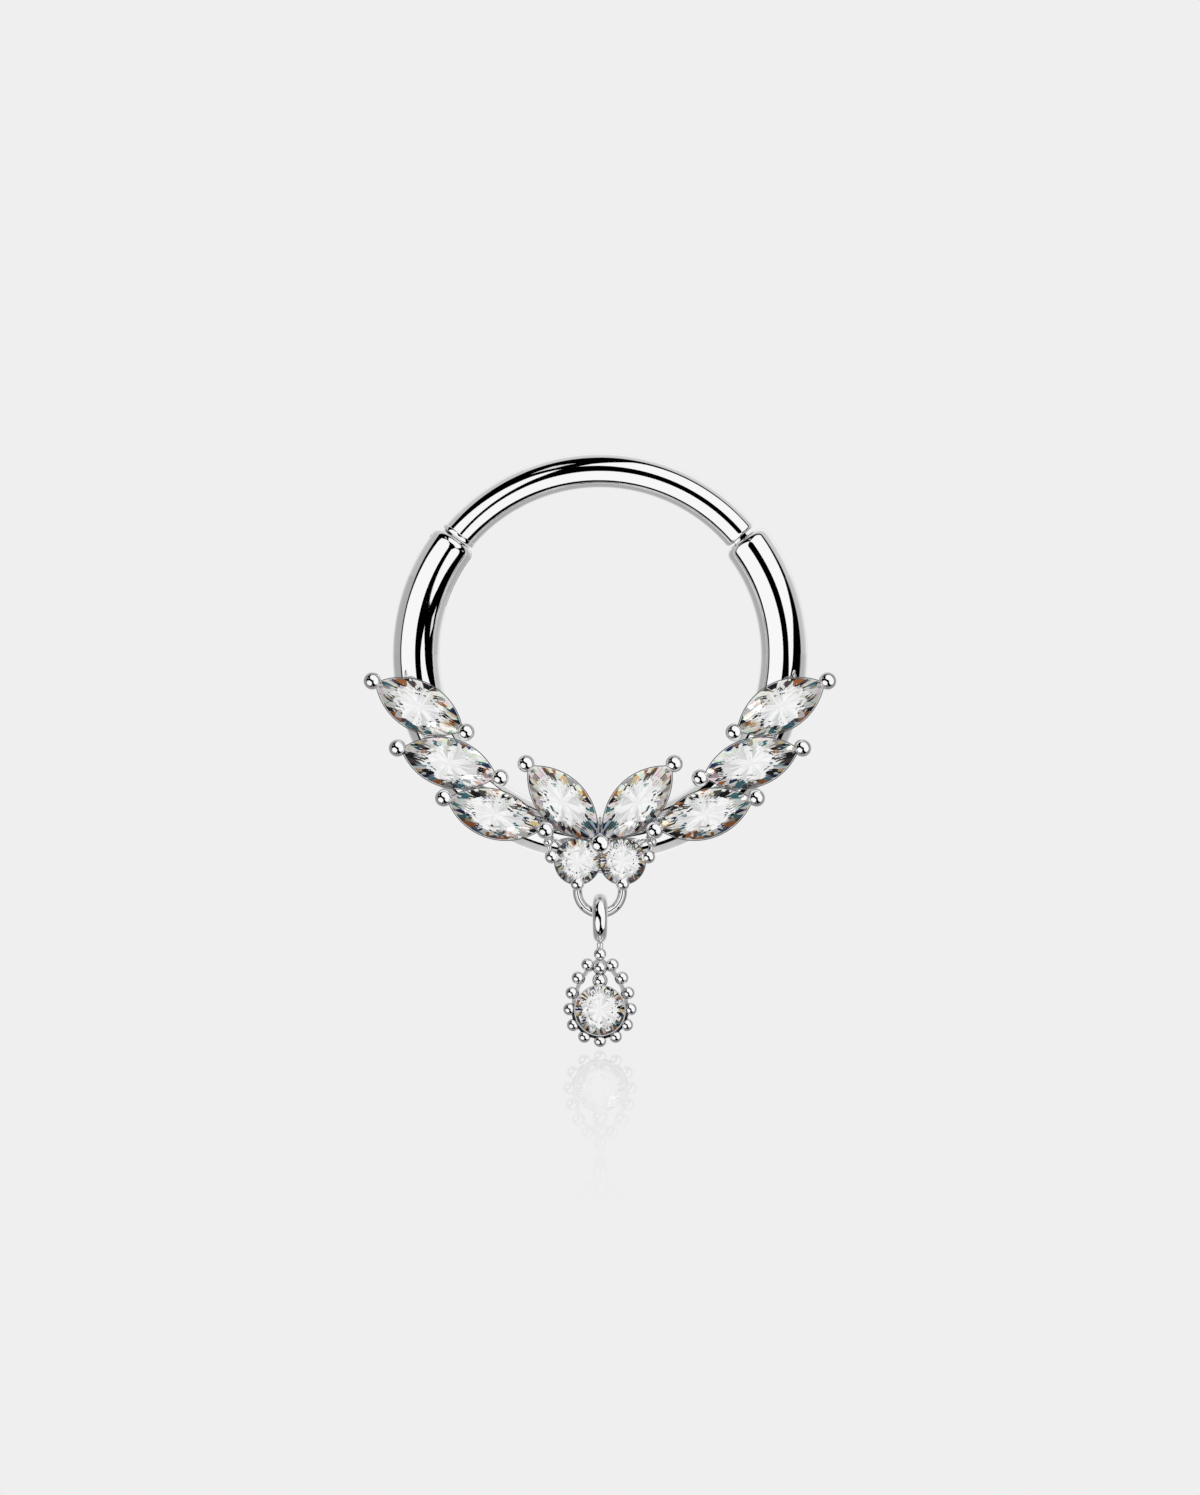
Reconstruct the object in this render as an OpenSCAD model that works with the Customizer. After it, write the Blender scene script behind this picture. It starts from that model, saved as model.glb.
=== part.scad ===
// Hinged septum ring with a wing of marquise stones on each side, a crest and a beaded pear drop.
// The front of the ring faces -Y. The origin is the middle of the segment's wire at the top.

/* [Ring] */
// Clear width inside the thick tube
inner_d = 10; // [9:0.5:12]
// Thickness of the tube that carries the stones
tube_d = 1.5; // [1.4:0.05:1.7]
// Thickness of the hinged segment's wire
wire_d = 1.1; // [1:0.05:1.2]
// Angle from the top of the ring to the rounding of each tube end
joint_angle = 53.7; // [51:0.1:56]
// Rounding of the tube's ends
tube_round = 0.27; // [0.2:0.01:0.3]
// Rounding of the segment's free end
wire_round = 0.1; // [0.05:0.01:0.15]

/* [Hinge] */
// Thickness of the hinge pin
pin_d = 0.3; // [0.25:0.01:0.32]
// From the tube's end to the middle of the pin
pin_inset = 0.4; // [0.38:0.01:0.45]
// Metal outside the pin's bore
pin_wall = 0.13; // [0.1:0.01:0.15]
// Metal round the pin in the segment's tongue
eye_wall = 0.13; // [0.1:0.01:0.14]
// Thickness of the segment's tongue
tongue_t = 0.44; // [0.36:0.01:0.5]
// Length of the saw cut on the inside of the ring
slot_run = 1.9; // [1.5:0.1:2.2]
// How far the end of the saw cut stays inward of the middle of the tube
slot_roof = 0.25; // [0.2:0.01:0.3]
// Thickness of the segment's foot
foot_t = 0.15; // [0.14:0.01:0.25]
// How far the foot stands out round the wire
foot_lip = 0.035; // [0.02:0.005:0.05]
// Space between the closed foot and the tube
foot_gap = 0.03; // [0.03:0.01:0.05]

/* [Clasp] */
// Space between the segment's free end and the tube
clasp_gap = 0.09; // [0.08:0.01:0.12]
// How far the nib reaches into the tube
nib_l = 0.34; // [0.25:0.01:0.36]
// Height of the nib, measured across the ring's curve
nib_h = 0.5; // [0.4:0.01:0.5]
// Thickness of the nib
nib_t = 0.44; // [0.3:0.01:0.5]
// How far the nib's middle lies inward from the middle of the tube
nib_inward = 0.06; // [0.03:0.01:0.1]

/* [Stones] */
// Length of a marquise stone
marquise_l = 3; // [2.7:0.05:3.1]
// Width of a marquise stone
marquise_w = 1.46; // [1.4:0.02:1.56]
// Width of the two round stones in the crest
round_d = 1.35; // [1.25:0.05:1.45]
// Width of the round stone in the drop
drop_stone_d = 1.5; // [1.4:0.05:1.5]
// Width of a stone's table, as a share of the stone
table = 0.56; // [0.5:0.01:0.65]
// Height of the crown, as a share of the stone's width
crown = 0.15; // [0.12:0.01:0.17]
// Depth of the pavilion, as a share of the stone's width
pavilion = 0.42; // [0.38:0.01:0.44]
// Thickness of a stone's girdle
girdle_t = 0.04; // [0.03:0.01:0.06]

/* [Settings] */
// Metal that shows round a stone
rim = 0.05; // [0.05:0.01:0.07]
// Space between a stone and its seat
seat_gap = 0.02; // [0.02:0.005:0.03]
// Metal under a stone's seat
cup_wall = 0.25; // [0.2:0.01:0.3]
// Width of the back of a round stone's cup, as a share of the stone
cup_back = 0.7; // [0.6:0.05:0.8]
// Space between the tube and the point of a stone
culet_lift = 0.05; // [0.04:0.01:0.1]
// Width of the ball on a marquise prong
ball_d = 0.56; // [0.5:0.01:0.6]
// From the tip of a marquise to the middle of its prong
ball_out = 0.16; // [0.14:0.01:0.2]
// Width of the ball that the crest shares
centre_ball_d = 0.68; // [0.6:0.01:0.7]
// Width of the small balls on the round stones
small_ball_d = 0.44; // [0.4:0.01:0.46]
// Thickness of the prongs under the balls
prong_d = 0.3; // [0.24:0.01:0.32]
// Thickness of the bar between the wing and the crest
bridge_d = 0.24; // [0.2:0.01:0.28]
// How far the balls stand in front of the girdles
ball_lift = 0.06; // [0.04:0.01:0.1]

/* [Crest] */
// How far the crest's ball lies below the middle of the tube
crest_drop = 0.155; // [0.1:0.005:0.2]
// Slope of the two crest stones
crest_tilt = 46.5; // [44:0.5:48]
// From the tip of a crest stone to the middle of the crest's ball
crest_out = 0.24; // [0.24:0.01:0.28]
// Metal between the seats of the two round stones
round_wall = 0.02; // [0.02:0.01:0.05]
// From the edge of a round stone to the middle of the crest's ball
round_out = 0.22; // [0.22:0.01:0.26]
// From the edge of a round stone to the middle of its side ball
side_ball_out = 0.14; // [0.1:0.01:0.16]
// From the edge of a round stone to the middle of its lower ball
low_ball_out = 0.01; // [0.01:0.01:0.05]
// Direction of the side ball above the horizontal
side_ball_rise = 11; // [5:1:15]

// How far the post under the crest's ball reaches into the tube
post_sink = 0.5; // [0.4:0.05:0.6]

/* [Loop and drop] */
// Outer width of the loop under the crest
loop_d = 1.7; // [1.6:0.05:1.8]
// Thickness of the loop's wire
loop_wire = 0.3; // [0.28:0.01:0.32]
// From the edge of a round stone down to the middle of the loop
loop_out = 0.24; // [0.2:0.01:0.28]
// How far the loop lies in front of the middle of the tube
loop_front = 0.95; // [0.85:0.05:1]
// Height of the drop's bail
bail_h = 1.58; // [1.5:0.02:1.7]
// Thickness of the bail's wire
bail_wire = 0.47; // [0.44:0.01:0.48]
// Space between the bail and the loop that it hangs on
bail_play = 0.02; // [0.01:0.005:0.03]
// Length of the neck between the bail and the top bead
neck_l = 0.12; // [0.1:0.01:0.2]
// Thickness of the neck
neck_d = 0.2; // [0.16:0.01:0.3]
// Width of the pear that the beads follow, through their middles
pear_w = 1.9; // [1.88:0.01:2]
// Height of the pear's point above the middle of its stone
pear_h = 1.75; // [1.7:0.01:1.85]
// Width of a bead on the drop
bead_d = 0.39; // [0.36:0.01:0.42]
// Spacing of the two beads inside the pear's point
inner_pitch = 0.41; // [0.38:0.01:0.44]
// Beads round the pear
bead_count = 14; // [14:2:16]
// Thickness of the plate behind the beads
plate_t = 0.3; // [0.25:0.01:0.4]
// How far the plate's edge lies inside the middles of the beads
plate_inset = 0.06; // [0.03:0.01:0.1]
// How far the drop's girdle stands in front of its middle
drop_lift = 0.3; // [0.25:0.01:0.35]

/* [Hidden] */
$fn = 64;

// Each row is a stone of the left wing, from the outside in. ARC is the way along the tube from the
// bottom, in stone widths. OUT is how far the stone lies outside the tube's middle, in stone widths.
// TURN is its turn from the tube's direction, in degrees.
ARC = 0;
OUT = 1;
TURN = 2;
WING = [
    [5.075, 0.072, 45.2],
    [3.73, 0.031, 38.1],
    [2.296, 0.144, 15.8]
];

// Radii and places on the ring
tube_r = tube_d / 2;
wire_r = wire_d / 2;
ring_r = inner_d / 2 + tube_r;
foot_r = wire_r + foot_lip;
// Angle along the ring that a length takes up
function along(length) = length / ring_r * 180 / PI;

// Places of the hinge, measured from the tube's end and from its middle
fit = 0.02;
side_play = 0.03;
bore_r = pin_d / 2 + fit;
pin_out = tube_r - pin_wall - bore_r;
eye_r = bore_r + eye_wall;
slot_t = tongue_t + 2 * side_play;
neck_reach = pin_inset + foot_gap + foot_t / 2;
slot_floor = pin_inset + norm([neck_reach, eye_r]) + side_play;
pin_l = 2 * sqrt(tube_r ^ 2 - (pin_out + pin_d / 2) ^ 2);
foot_angle = joint_angle - along(tube_round + foot_gap + foot_t / 2);
free_angle = joint_angle - along(tube_round + clasp_gap + wire_round);
// The nib leaves upward, so it moves outward in its pocket as it comes out
nib_lead = (nib_l + side_play) / tan(joint_angle);

// Heights in front of the ring's middle plane, and cuts of the stones
pavilion_h = pavilion * marquise_w;
girdle_y = -(tube_r + culet_lift + pavilion_h);
ball_y = girdle_y - ball_lift;
STAR = 0.78;
LOW = 0.24;
lens_r = (marquise_l ^ 2 + marquise_w ^ 2) / (4 * marquise_w);
lens_offset = lens_r - marquise_w / 2;
prong_at = marquise_l / 2 + ball_out;

// Places in the crest
crest_z = -2 * ring_r - crest_drop;
crest_reach = marquise_l / 2 + crest_out;
crest_x = -crest_reach * cos(crest_tilt);
crest_mid_z = crest_z + crest_reach * sin(crest_tilt);
round_r = round_d / 2;
round_x = -(round_r + seat_gap + round_wall / 2);
round_z = crest_z - sqrt((round_r + round_out) ^ 2 - round_x ^ 2);
round_depth = pavilion * round_d + cup_wall;
side_ball_x = round_x - (round_r + side_ball_out) * cos(side_ball_rise);
side_ball_z = round_z + (round_r + side_ball_out) * sin(side_ball_rise);

// Places in the loop and the drop
loop_y = -loop_front;
loop_r = (loop_d - loop_wire) / 2;
loop_z = round_z - round_r - loop_out;
perch_z = loop_z - loop_r;
bail_r = (bail_h - bail_wire) / 2;
bail_top = perch_z + loop_wire / 2 + bail_play + bail_wire;
bail_z = bail_top - bail_h / 2;
bead_r = bead_d / 2;
pear_r = pear_w / 2;
pear_top = bail_top - bail_h - neck_l - bead_r;
drop_z = pear_top - pear_h;
drop_girdle_y = loop_y - drop_lift;
flank_r = (pear_h ^ 2 + pear_r ^ 2) / (2 * pear_r);
flank_sweep = asin(pear_h / flank_r);
flank_l = flank_r * flank_sweep * PI / 180;
half_pear_l = flank_l + pear_r * PI / 2;

// The outward direction of the pear's outline at a length from its top, on the right
function pear_turn(s) =
    s < flank_l ? flank_sweep * (1 - s / flank_l) : (flank_l - s) / pear_r * 180 / PI;

// The point of the outline there
function pear_point(s) =
    let (turn = [cos(pear_turn(s)), sin(pear_turn(s))])
        s < flank_l ? flank_r * turn - [flank_r - pear_r, 0] : pear_r * turn;

// Puts children at an angle from the top of the ring, clockwise, with +Z outward
module on_ring(angle) {
    translate([0, 0, -ring_r]) rotate([0, angle, 0]) translate([0, 0, ring_r]) children();
}

// Puts children at the left tube end, with +X out of the tube and +Z outward
module at_left_end() {
    on_ring(-joint_angle) translate([tube_round, 0, 0]) children();
}

// Puts children at the right tube end, in the mirrored frame
module at_right_end() {
    mirror([1, 0, 0]) at_left_end() children();
}

// Puts children in front of the ring with their +Z forward, turned down to the right by a slope
module facing(x, y, z, slope = 0) {
    translate([x, y, z]) rotate([90, 0, 0]) rotate([0, 0, -slope]) children();
}

// Puts children at a stone of the left wing
module at_wing(row) {
    turn = along(row[ARC] * marquise_w);
    reach = ring_r + row[OUT] * marquise_w;
    facing(-reach * sin(turn), girdle_y, -ring_r - reach * cos(turn), turn - row[TURN]) children();
}

// Puts children at the left stone of the crest, and of the two below it
module at_crest() {
    facing(crest_x, girdle_y, crest_mid_z, crest_tilt) children();
}

module at_round() {
    facing(round_x, girdle_y, round_z) children();
}

module at_drop() {
    facing(0, drop_girdle_y, drop_z) children();
}

// A round bar bent along the ring between two angles from the top, clockwise
module bent_bar(from, to, r) {
    translate([0, 0, -ring_r]) rotate([90, 0, 0]) rotate([0, 0, 90 - to])
        rotate_extrude(angle = to - from, $fn = 180) translate([ring_r, 0]) circle(r);
}

// The rounded end of a bar, from the plane x = 0 towards +X
module round_end(r, rounding) {
    rotate([0, 90, 0]) rotate_extrude() {
        square([r - rounding, rounding]);
        intersection() {
            translate([r - rounding, 0]) circle(rounding);
            square([r, rounding]);
        }
    }
}

// A flat plate in the ring's plane, of a thickness in Y
module plate(thickness) {
    rotate([90, 0, 0]) linear_extrude(thickness, center = true) children();
}

// A ball with a straight prong that runs back to a depth, both in the frame of a stone
module prong(at, ball, foot, depth) {
    lean = norm([at - foot, ball_lift + depth]);
    translate([at, 0, ball_lift]) sphere(d = ball);
    translate([foot, 0, -depth]) rotate([0, atan2(at - foot, ball_lift + depth), 0])
        cylinder(h = lean, d = prong_d);
}

// A marquise's outline on a profile, whose rows are the growth beyond the outline and the height,
// from the back forward
module lens(profile) {
    back = profile[0][1];
    front = profile[len(profile) - 1][1];
    edge = [for (row = profile) [lens_r + row[0], row[1]]];
    intersection_for (side = [-1, 1])
        translate([0, side * lens_offset, 0]) rotate_extrude()
            polygon(concat([[0, back]], edge, [[0, front]]));
}

// The space that a marquise needs in its setting
module marquise_seat() {
    half_w = marquise_w / 2;
    top = girdle_t / 2 + seat_gap;
    lens([
        [0.001 - half_w, -pavilion_h - seat_gap],
        [seat_gap, -top],
        [seat_gap, top],
        [seat_gap - half_w * (1 - table), top + crown * marquise_w]
    ]);
}

// A boat-shaped cup with a ball prong at each tip, in the frame of its stone
module marquise_setting(inner_prong = true) {
    lens([[rim - marquise_w / 2, -pavilion_h - cup_wall], [rim, 0]]);
    for (side = inner_prong ? [-1, 1] : [-1])
        mirror([side < 0 ? 1 : 0, 0, 0]) prong(prong_at, ball_d, marquise_l / 4, pavilion_h);
}

// The space that a round stone needs in its setting
module round_seat(d) {
    r = d / 2;
    top = girdle_t / 2 + seat_gap;
    rotate_extrude() polygon([
        [0, -pavilion * d - seat_gap],
        [r + seat_gap, -top],
        [r + seat_gap, top],
        [r * table + seat_gap, top + crown * d],
        [0, top + crown * d]
    ]);
}

// A cup that narrows to the back, in the frame of its round stone
module round_cup(d, wall) {
    depth = pavilion * d + wall;
    translate([0, 0, -depth]) cylinder(h = depth, r1 = d / 2 * cup_back, r2 = d / 2 + rim);
}

// A brilliant cut on an outline of 16 points, with its girdle at z = 0 and its table up
module brilliant(outline, width) {
    upper = girdle_t / 2;
    crown_h = crown * width;
    depth = pavilion * width;
    star_z = upper + crown_h * (1 - STAR * cos(22.5)) / (1 - table);
    low_z = -upper - (depth - upper) * (1 - LOW * cos(22.5));
    function ring(share, z, first, step) =
        [for (i = [first : step : 15]) [share * outline[i].x, share * outline[i].y, z]];
    corners = concat(
        ring(table, upper + crown_h, 0, 2), ring(STAR, star_z, 1, 2), ring(1, upper, 0, 1),
        ring(1, -upper, 0, 1), ring(LOW, low_z, 1, 2), [[0, 0, -depth]]
    );
    star = 8;
    top_edge = 16;
    low_edge = 32;
    low = 48;
    culet = 56;
    facets = concat(
        [[for (i = [0 : 7]) i]],
        [for (i = [0 : 7]) [i, star + i, (i + 1) % 8]],
        [for (i = [0 : 7]) [i, star + (i + 7) % 8, top_edge + 2 * i, star + i]],
        [for (i = [0 : 7]) [star + i, top_edge + 2 * i, top_edge + 2 * i + 1]],
        [for (i = [0 : 7]) [star + i, top_edge + 2 * i + 1, top_edge + (2 * i + 2) % 16]],
        [for (i = [0 : 15]) [top_edge + i, low_edge + i, low_edge + (i + 1) % 16, top_edge + (i + 1) % 16]],
        [for (i = [0 : 7]) [low + i, low_edge + 2 * i + 1, low_edge + 2 * i]],
        [for (i = [0 : 7]) [low + i, low_edge + (2 * i + 2) % 16, low_edge + 2 * i + 1]],
        [for (i = [0 : 7]) [culet, low + i, low_edge + 2 * i, low + (i + 7) % 8]]
    );
    polyhedron(corners, [for (f = facets) [for (i = [len(f) - 1 : -1 : 0]) f[i]]]);
}

module marquise_stone() {
    half_sweep = asin(marquise_l / 2 / lens_r);
    outline = [
        for (i = [0 : 15])
            let (side = i < 8 ? 1 : -1, a = half_sweep * (1 - (i % 8) / 4))
                [side * lens_r * sin(a), side * (lens_r * cos(a) - lens_offset)]
    ];
    color("white") brilliant(outline, marquise_w);
}

module round_stone(d) {
    color("white") brilliant([for (i = [0 : 15]) d / 2 * [cos(22.5 * i), sin(22.5 * i)]], d);
}

// The cups, prongs and bridge on the left half of the front
module left_settings() {
    for (row = WING) at_wing(row) marquise_setting();
    at_crest() marquise_setting(false);
    at_round() {
        round_cup(round_d, cup_wall);
        rotate([0, 0, 180 - side_ball_rise])
            prong(round_r + side_ball_out, small_ball_d, round_r * cup_back, round_depth);
        rotate([0, 0, -90]) prong(round_r + low_ball_out, small_ball_d, round_r * cup_back, round_depth);
    }
    translate([side_ball_x, girdle_y + bridge_d, side_ball_z]) bridge();
}

// The short bar between the side ball and the innermost prong of the wing
module bridge() {
    turn = along(WING[2][ARC] * marquise_w);
    reach = ring_r + WING[2][OUT] * marquise_w;
    slope = turn - WING[2][TURN];
    prong_x = -reach * sin(turn) + prong_at * cos(slope);
    prong_z = -ring_r - reach * cos(turn) - prong_at * sin(slope);
    run = [prong_x - side_ball_x, prong_z - side_ball_z];
    rotate([0, atan2(run[0], run[1]), 0]) cylinder(h = norm(run), d = bridge_d);
}

module left_seats() {
    for (row = WING) at_wing(row) marquise_seat();
    at_crest() marquise_seat();
    at_round() round_seat(round_d);
}

// The hinge's saw cut and the pin's bore
module hinge_cut() {
    at_left_end() {
        translate([-slot_floor, -slot_t / 2, -tube_d]) cube([slot_floor + tube_d, slot_t, 2 * tube_d]);
        translate([-slot_run, -slot_t / 2, -tube_d]) cube([slot_run, slot_t, tube_d - slot_roof]);
        translate([-pin_inset, 0, pin_out]) rotate([90, 0, 0])
            cylinder(h = 2 * tube_d, r = bore_r, center = true);
    }
}

// The pocket that the nib drops into, longer outward because the nib leaves that way
module clasp_pocket() {
    low_z = -nib_inward - nib_h / 2 - side_play;
    high_z = -nib_inward + nib_h / 2 + nib_lead + side_play;
    at_right_end() translate([-nib_l - side_play, -nib_t / 2 - side_play, low_z])
        cube([nib_l + 2 * side_play + tube_round, nib_t + 2 * side_play, high_z - low_z]);
}

// The ball that the crest's four stones share, on a post that reaches into the tube
module crest_post() {
    translate([0, ball_y, crest_z]) rotate([-90, 30, 0]) {
        sphere(d = centre_ball_d);
        cylinder(h = -ball_y - tube_r + post_sink, d = prong_d);
    }
}

module loop() {
    translate([0, loop_y, loop_z]) rotate([90, 0, 0])
        rotate_extrude() translate([loop_r, 0]) circle(d = loop_wire);
}

// The thick tube with its rounded ends, the hinge's cut and the clasp's pocket
module tube() {
    difference() {
        union() {
            bent_bar(joint_angle, 360 - joint_angle, tube_r);
            on_ring(-joint_angle) round_end(tube_r, tube_round);
            mirror([1, 0, 0]) on_ring(-joint_angle) round_end(tube_r, tube_round);
        }
        hinge_cut();
        clasp_pocket();
    }
}

// All that is soldered to the front of the tube
module front() {
    difference() {
        union() {
            left_settings();
            mirror([1, 0, 0]) left_settings();
            crest_post();
            loop();
        }
        left_seats();
        mirror([1, 0, 0]) left_seats();
    }
}

module ring_frame() {
    color("silver") {
        tube();
        front();
    }
}

module hinged_segment() {
    color("silver") {
        difference() {
            union() {
                bent_bar(-foot_angle, free_angle, wire_r);
                at_left_end() translate([foot_gap, 0, 0]) rotate([0, 90, 0])
                    cylinder(h = foot_t, r = foot_r);
                at_left_end() translate([-pin_inset, 0, pin_out]) plate(tongue_t) {
                    circle(eye_r);
                    translate([0, -eye_r]) square([neck_reach, eye_r]);
                }
                on_ring(free_angle) round_end(wire_r, wire_round);
                at_right_end() translate([-nib_l, -nib_t / 2, -nib_inward - nib_h / 2])
                    cube([nib_l + clasp_gap + 2 * wire_round, nib_t, nib_h]);
            }
            at_left_end() translate([-pin_inset, 0, pin_out]) rotate([90, 0, 0])
                cylinder(h = tube_d, r = bore_r, center = true);
        }
    }
}

module hinge_pin() {
    color("silver") at_left_end() translate([-pin_inset, 0, pin_out]) rotate([90, 0, 0])
        cylinder(h = pin_l, d = pin_d, center = true);
}

// The outline of the pear's plate, in the frame of its stone, inside the middles of the beads
module pear_outline() {
    circle(pear_r - plate_inset);
    intersection() {
        intersection_for (side = [-1, 1])
            translate([side * (flank_r - pear_r), 0]) circle(flank_r - plate_inset);
        translate([-pear_r, 0]) square([pear_w, pear_h]);
    }
}

// A bead of the pear with its seam outward, clear of the plate
module bead(at, turn) {
    translate([at.x, at.y, bead_r / 2]) rotate([0, 0, turn]) sphere(bead_r);
}

// The beads round the pear's outline, and the two inside its point. The top bead's seam points down
// and to the right, clear of the neck.
module beads() {
    for (side = [0, 1]) mirror([side, 0, 0])
        for (i = [1 : bead_count / 2 - 1])
            let (s = 2 * half_pear_l * i / bead_count) bead(pear_point(s), pear_turn(s));
    bead([0, pear_h], -40);
    bead([0, -pear_r], -90);
    for (i = [1, 2]) translate([0, pear_h - i * inner_pitch, bead_r]) sphere(bead_r);
}

module drop_frame() {
    color("silver") {
        translate([0, loop_y, bail_z]) rotate([0, 90, 0])
            rotate_extrude() translate([bail_r, 0]) circle(d = bail_wire);
        translate([0, loop_y, pear_top]) cylinder(h = bead_r + neck_l + bail_wire / 2, d = neck_d);
        difference() {
            union() {
                facing(0, loop_y, drop_z) {
                    translate([0, 0, -plate_t / 2]) linear_extrude(plate_t) pear_outline();
                    beads();
                }
                at_drop() round_cup(drop_stone_d, cup_wall / 2);
            }
            at_drop() round_seat(drop_stone_d);
        }
    }
}

module marquise_left_1() { at_wing(WING[0]) marquise_stone(); }
module marquise_left_2() { at_wing(WING[1]) marquise_stone(); }
module marquise_left_3() { at_wing(WING[2]) marquise_stone(); }
module marquise_right_1() { mirror([1, 0, 0]) marquise_left_1(); }
module marquise_right_2() { mirror([1, 0, 0]) marquise_left_2(); }
module marquise_right_3() { mirror([1, 0, 0]) marquise_left_3(); }
module crest_left() { at_crest() marquise_stone(); }
module crest_right() { mirror([1, 0, 0]) crest_left(); }
module round_left() { at_round() round_stone(round_d); }
module round_right() { mirror([1, 0, 0]) round_left(); }
module drop_stone() { at_drop() round_stone(drop_stone_d); }

ring_frame();
hinged_segment();
hinge_pin();
marquise_left_1();
marquise_left_2();
marquise_left_3();
marquise_right_1();
marquise_right_2();
marquise_right_3();
crest_left();
crest_right();
round_left();
round_right();
drop_frame();
drop_stone();
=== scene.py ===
"""A hinged septum ring in polished white metal with clear stones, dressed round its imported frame.

Pieces are modelled in millimetres and brought to metres when they are finished.
"""

import math

import bpy
from mathutils import Matrix, Vector


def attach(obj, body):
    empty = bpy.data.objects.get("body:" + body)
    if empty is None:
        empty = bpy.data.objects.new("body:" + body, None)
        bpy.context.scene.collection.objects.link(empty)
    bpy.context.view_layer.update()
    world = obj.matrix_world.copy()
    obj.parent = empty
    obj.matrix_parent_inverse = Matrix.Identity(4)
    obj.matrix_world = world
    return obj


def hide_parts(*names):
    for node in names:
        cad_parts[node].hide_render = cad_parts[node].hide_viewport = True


bl_info = {
    "name": "Hinged septum ring",
    "version": (1, 0, 0),
    "blender": (4, 5, 0),
    "location": "View3D > Sidebar > Ring",
    "description": "Models a hinged septum ring with marquise stones and a beaded drop",
    "category": "Object",
}

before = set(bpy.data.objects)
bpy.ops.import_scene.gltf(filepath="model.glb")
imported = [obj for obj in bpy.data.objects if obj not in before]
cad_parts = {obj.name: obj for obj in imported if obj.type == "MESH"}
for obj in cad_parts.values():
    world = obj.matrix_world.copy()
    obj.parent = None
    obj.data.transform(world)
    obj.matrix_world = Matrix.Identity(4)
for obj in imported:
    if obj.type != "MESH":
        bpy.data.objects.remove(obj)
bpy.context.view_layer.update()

MM = 1000
FULL = 2 * math.pi
QUARTER = math.pi / 2
MIRRORED = Matrix.Scale(-1, 4, (1, 0, 0))
BOTH_SIDES = (Matrix.Identity(4), MIRRORED)
RING_BODY = "ring"
SEGMENT_BODY = "segment"
DROP_BODY = "drop"

# Hinge and clasp, which lie inside the tube's ends. Depths are from the end of the tube's straight edge.
PIN_INSET = 0.4
PIN_LENGTH = 0.9
PIN_PLAY = 0.02
EYE_ROOM = 0.3
EYE_R = 0.265
TONGUE_THICK = 0.44
BORE_PAST = 0.08
SLOT_THICK = 0.5
SLOT_DEPTH = 1.017
SLOT_PAST = 1.5
SWING_DEPTH = 1.9
SWING_TOP = -0.25
NIB_DEPTH = 0.34
NIB_HEIGHT = 0.5
NIB_SHIFT = -0.06
POCKET_DEPTH = 0.37
POCKET_PAST = 0.03
POCKET_HEIGHT = 0.83
POCKET_SHIFT = 0.075
CLASP_GAP = 0.09
FOOT_GAP = 0.03
FOOT_THICK = 0.15
FOOT_LIP = 0.035

# Stones of one wing from the outside in: way along the tube from the bottom and way outside its middle,
# both in stone widths, and turn from the tube's direction
WING = (
    {"along": 5.075, "out": 0.072, "turn": math.radians(45.2)},
    {"along": 3.73, "out": 0.031, "turn": math.radians(38.1)},
    {"along": 2.296, "out": 0.144, "turn": math.radians(15.8)},
)
# Turns in degrees of a marquise cut's facets from the middle of a side
MARQUISE_MAINS = (0, 34)
MARQUISE_STARS = (17, 54)
MARQUISE_BREAKS = (8.5, 25.5, 41, 49)
# Slopes of the small facets as shares of the main facets' slopes, and reach of the star facets
BREAK_CROWN = 1.28
BREAK_PAVILION = 1.014
STAR_CROWN = 0.62
STAR_REACH = 0.93
SEAT_LIP = 0.04
# Radius of a round cup's back, as a share of its stone's
CUP_BACK = 0.7
# Crest: turn of a side ball above level, the bars to the wings with their beads, and the web in the middle
SIDE_BALL_RISE = math.radians(11)
BAR_R = 0.07
BAR_BEHIND = 0.24
BAR_BEAD_R = 0.15
POST_SUNK = 0.5
WEB_R = 0.06
WEB_LENGTH = 0.7
WEB_BEHIND = 0.25
WEB_RISE = 0.5
# Painted colours of the light that a cut stone breaks up, which its back facets glow with, and where each
# starts on a scale from 0 to 1
STONE_FIRE = (
    (0.0, (0.008, 0.008, 0.01)), (0.17, (0.01, 0.03, 0.12)), (0.23, (0.06, 0.20, 0.24)),
    (0.29, (0.42, 0.15, 0.04)), (0.36, (0.16, 0.09, 0.05)), (0.43, (0.94, 0.93, 0.88)),
    (0.60, (0.42, 0.40, 0.37)), (0.69, (0.98, 0.97, 0.93)), (0.81, (0.80, 0.62, 0.34)),
    (0.87, (0.40, 0.58, 0.66)), (0.92, (0.09, 0.08, 0.08)),
)

BEAD_COUNT = 14
BEAD_PITCH = 0.41
PLATE_THICK = 0.3
PLATE_INSET = 0.06
PLATE_GRID = 0.04
# Steps of the bail's neck: how far its end face is pushed up, and the share by which it is then resized
# about the middle of the neck's foot. The last push is the neck's length over the bead, less NECK_LESS.
NECK_STEPS = ((0.03, 1.4), (0.03, 1), (0.03, 0.7), (0.03, 1.4), (0.03, 1), (0.02, 0.8))
NECK_LESS = 0.2

# The photograph's frame, and heights in metres of the floor and of the camera
PHOTO_HEIGHT = 1495
PIXELS_A_MM = 32
FLOOR_Z = -0.01803
CAMERA_Z = -0.008653
CAMERA_AWAY = 0.3


# Sizes and finishes


def length(name, description, default):
    return bpy.props.FloatProperty(
        name=name, description=description, default=default, min=0.00001, precision=5,
        subtype="DISTANCE", unit="LENGTH",
    )


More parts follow.
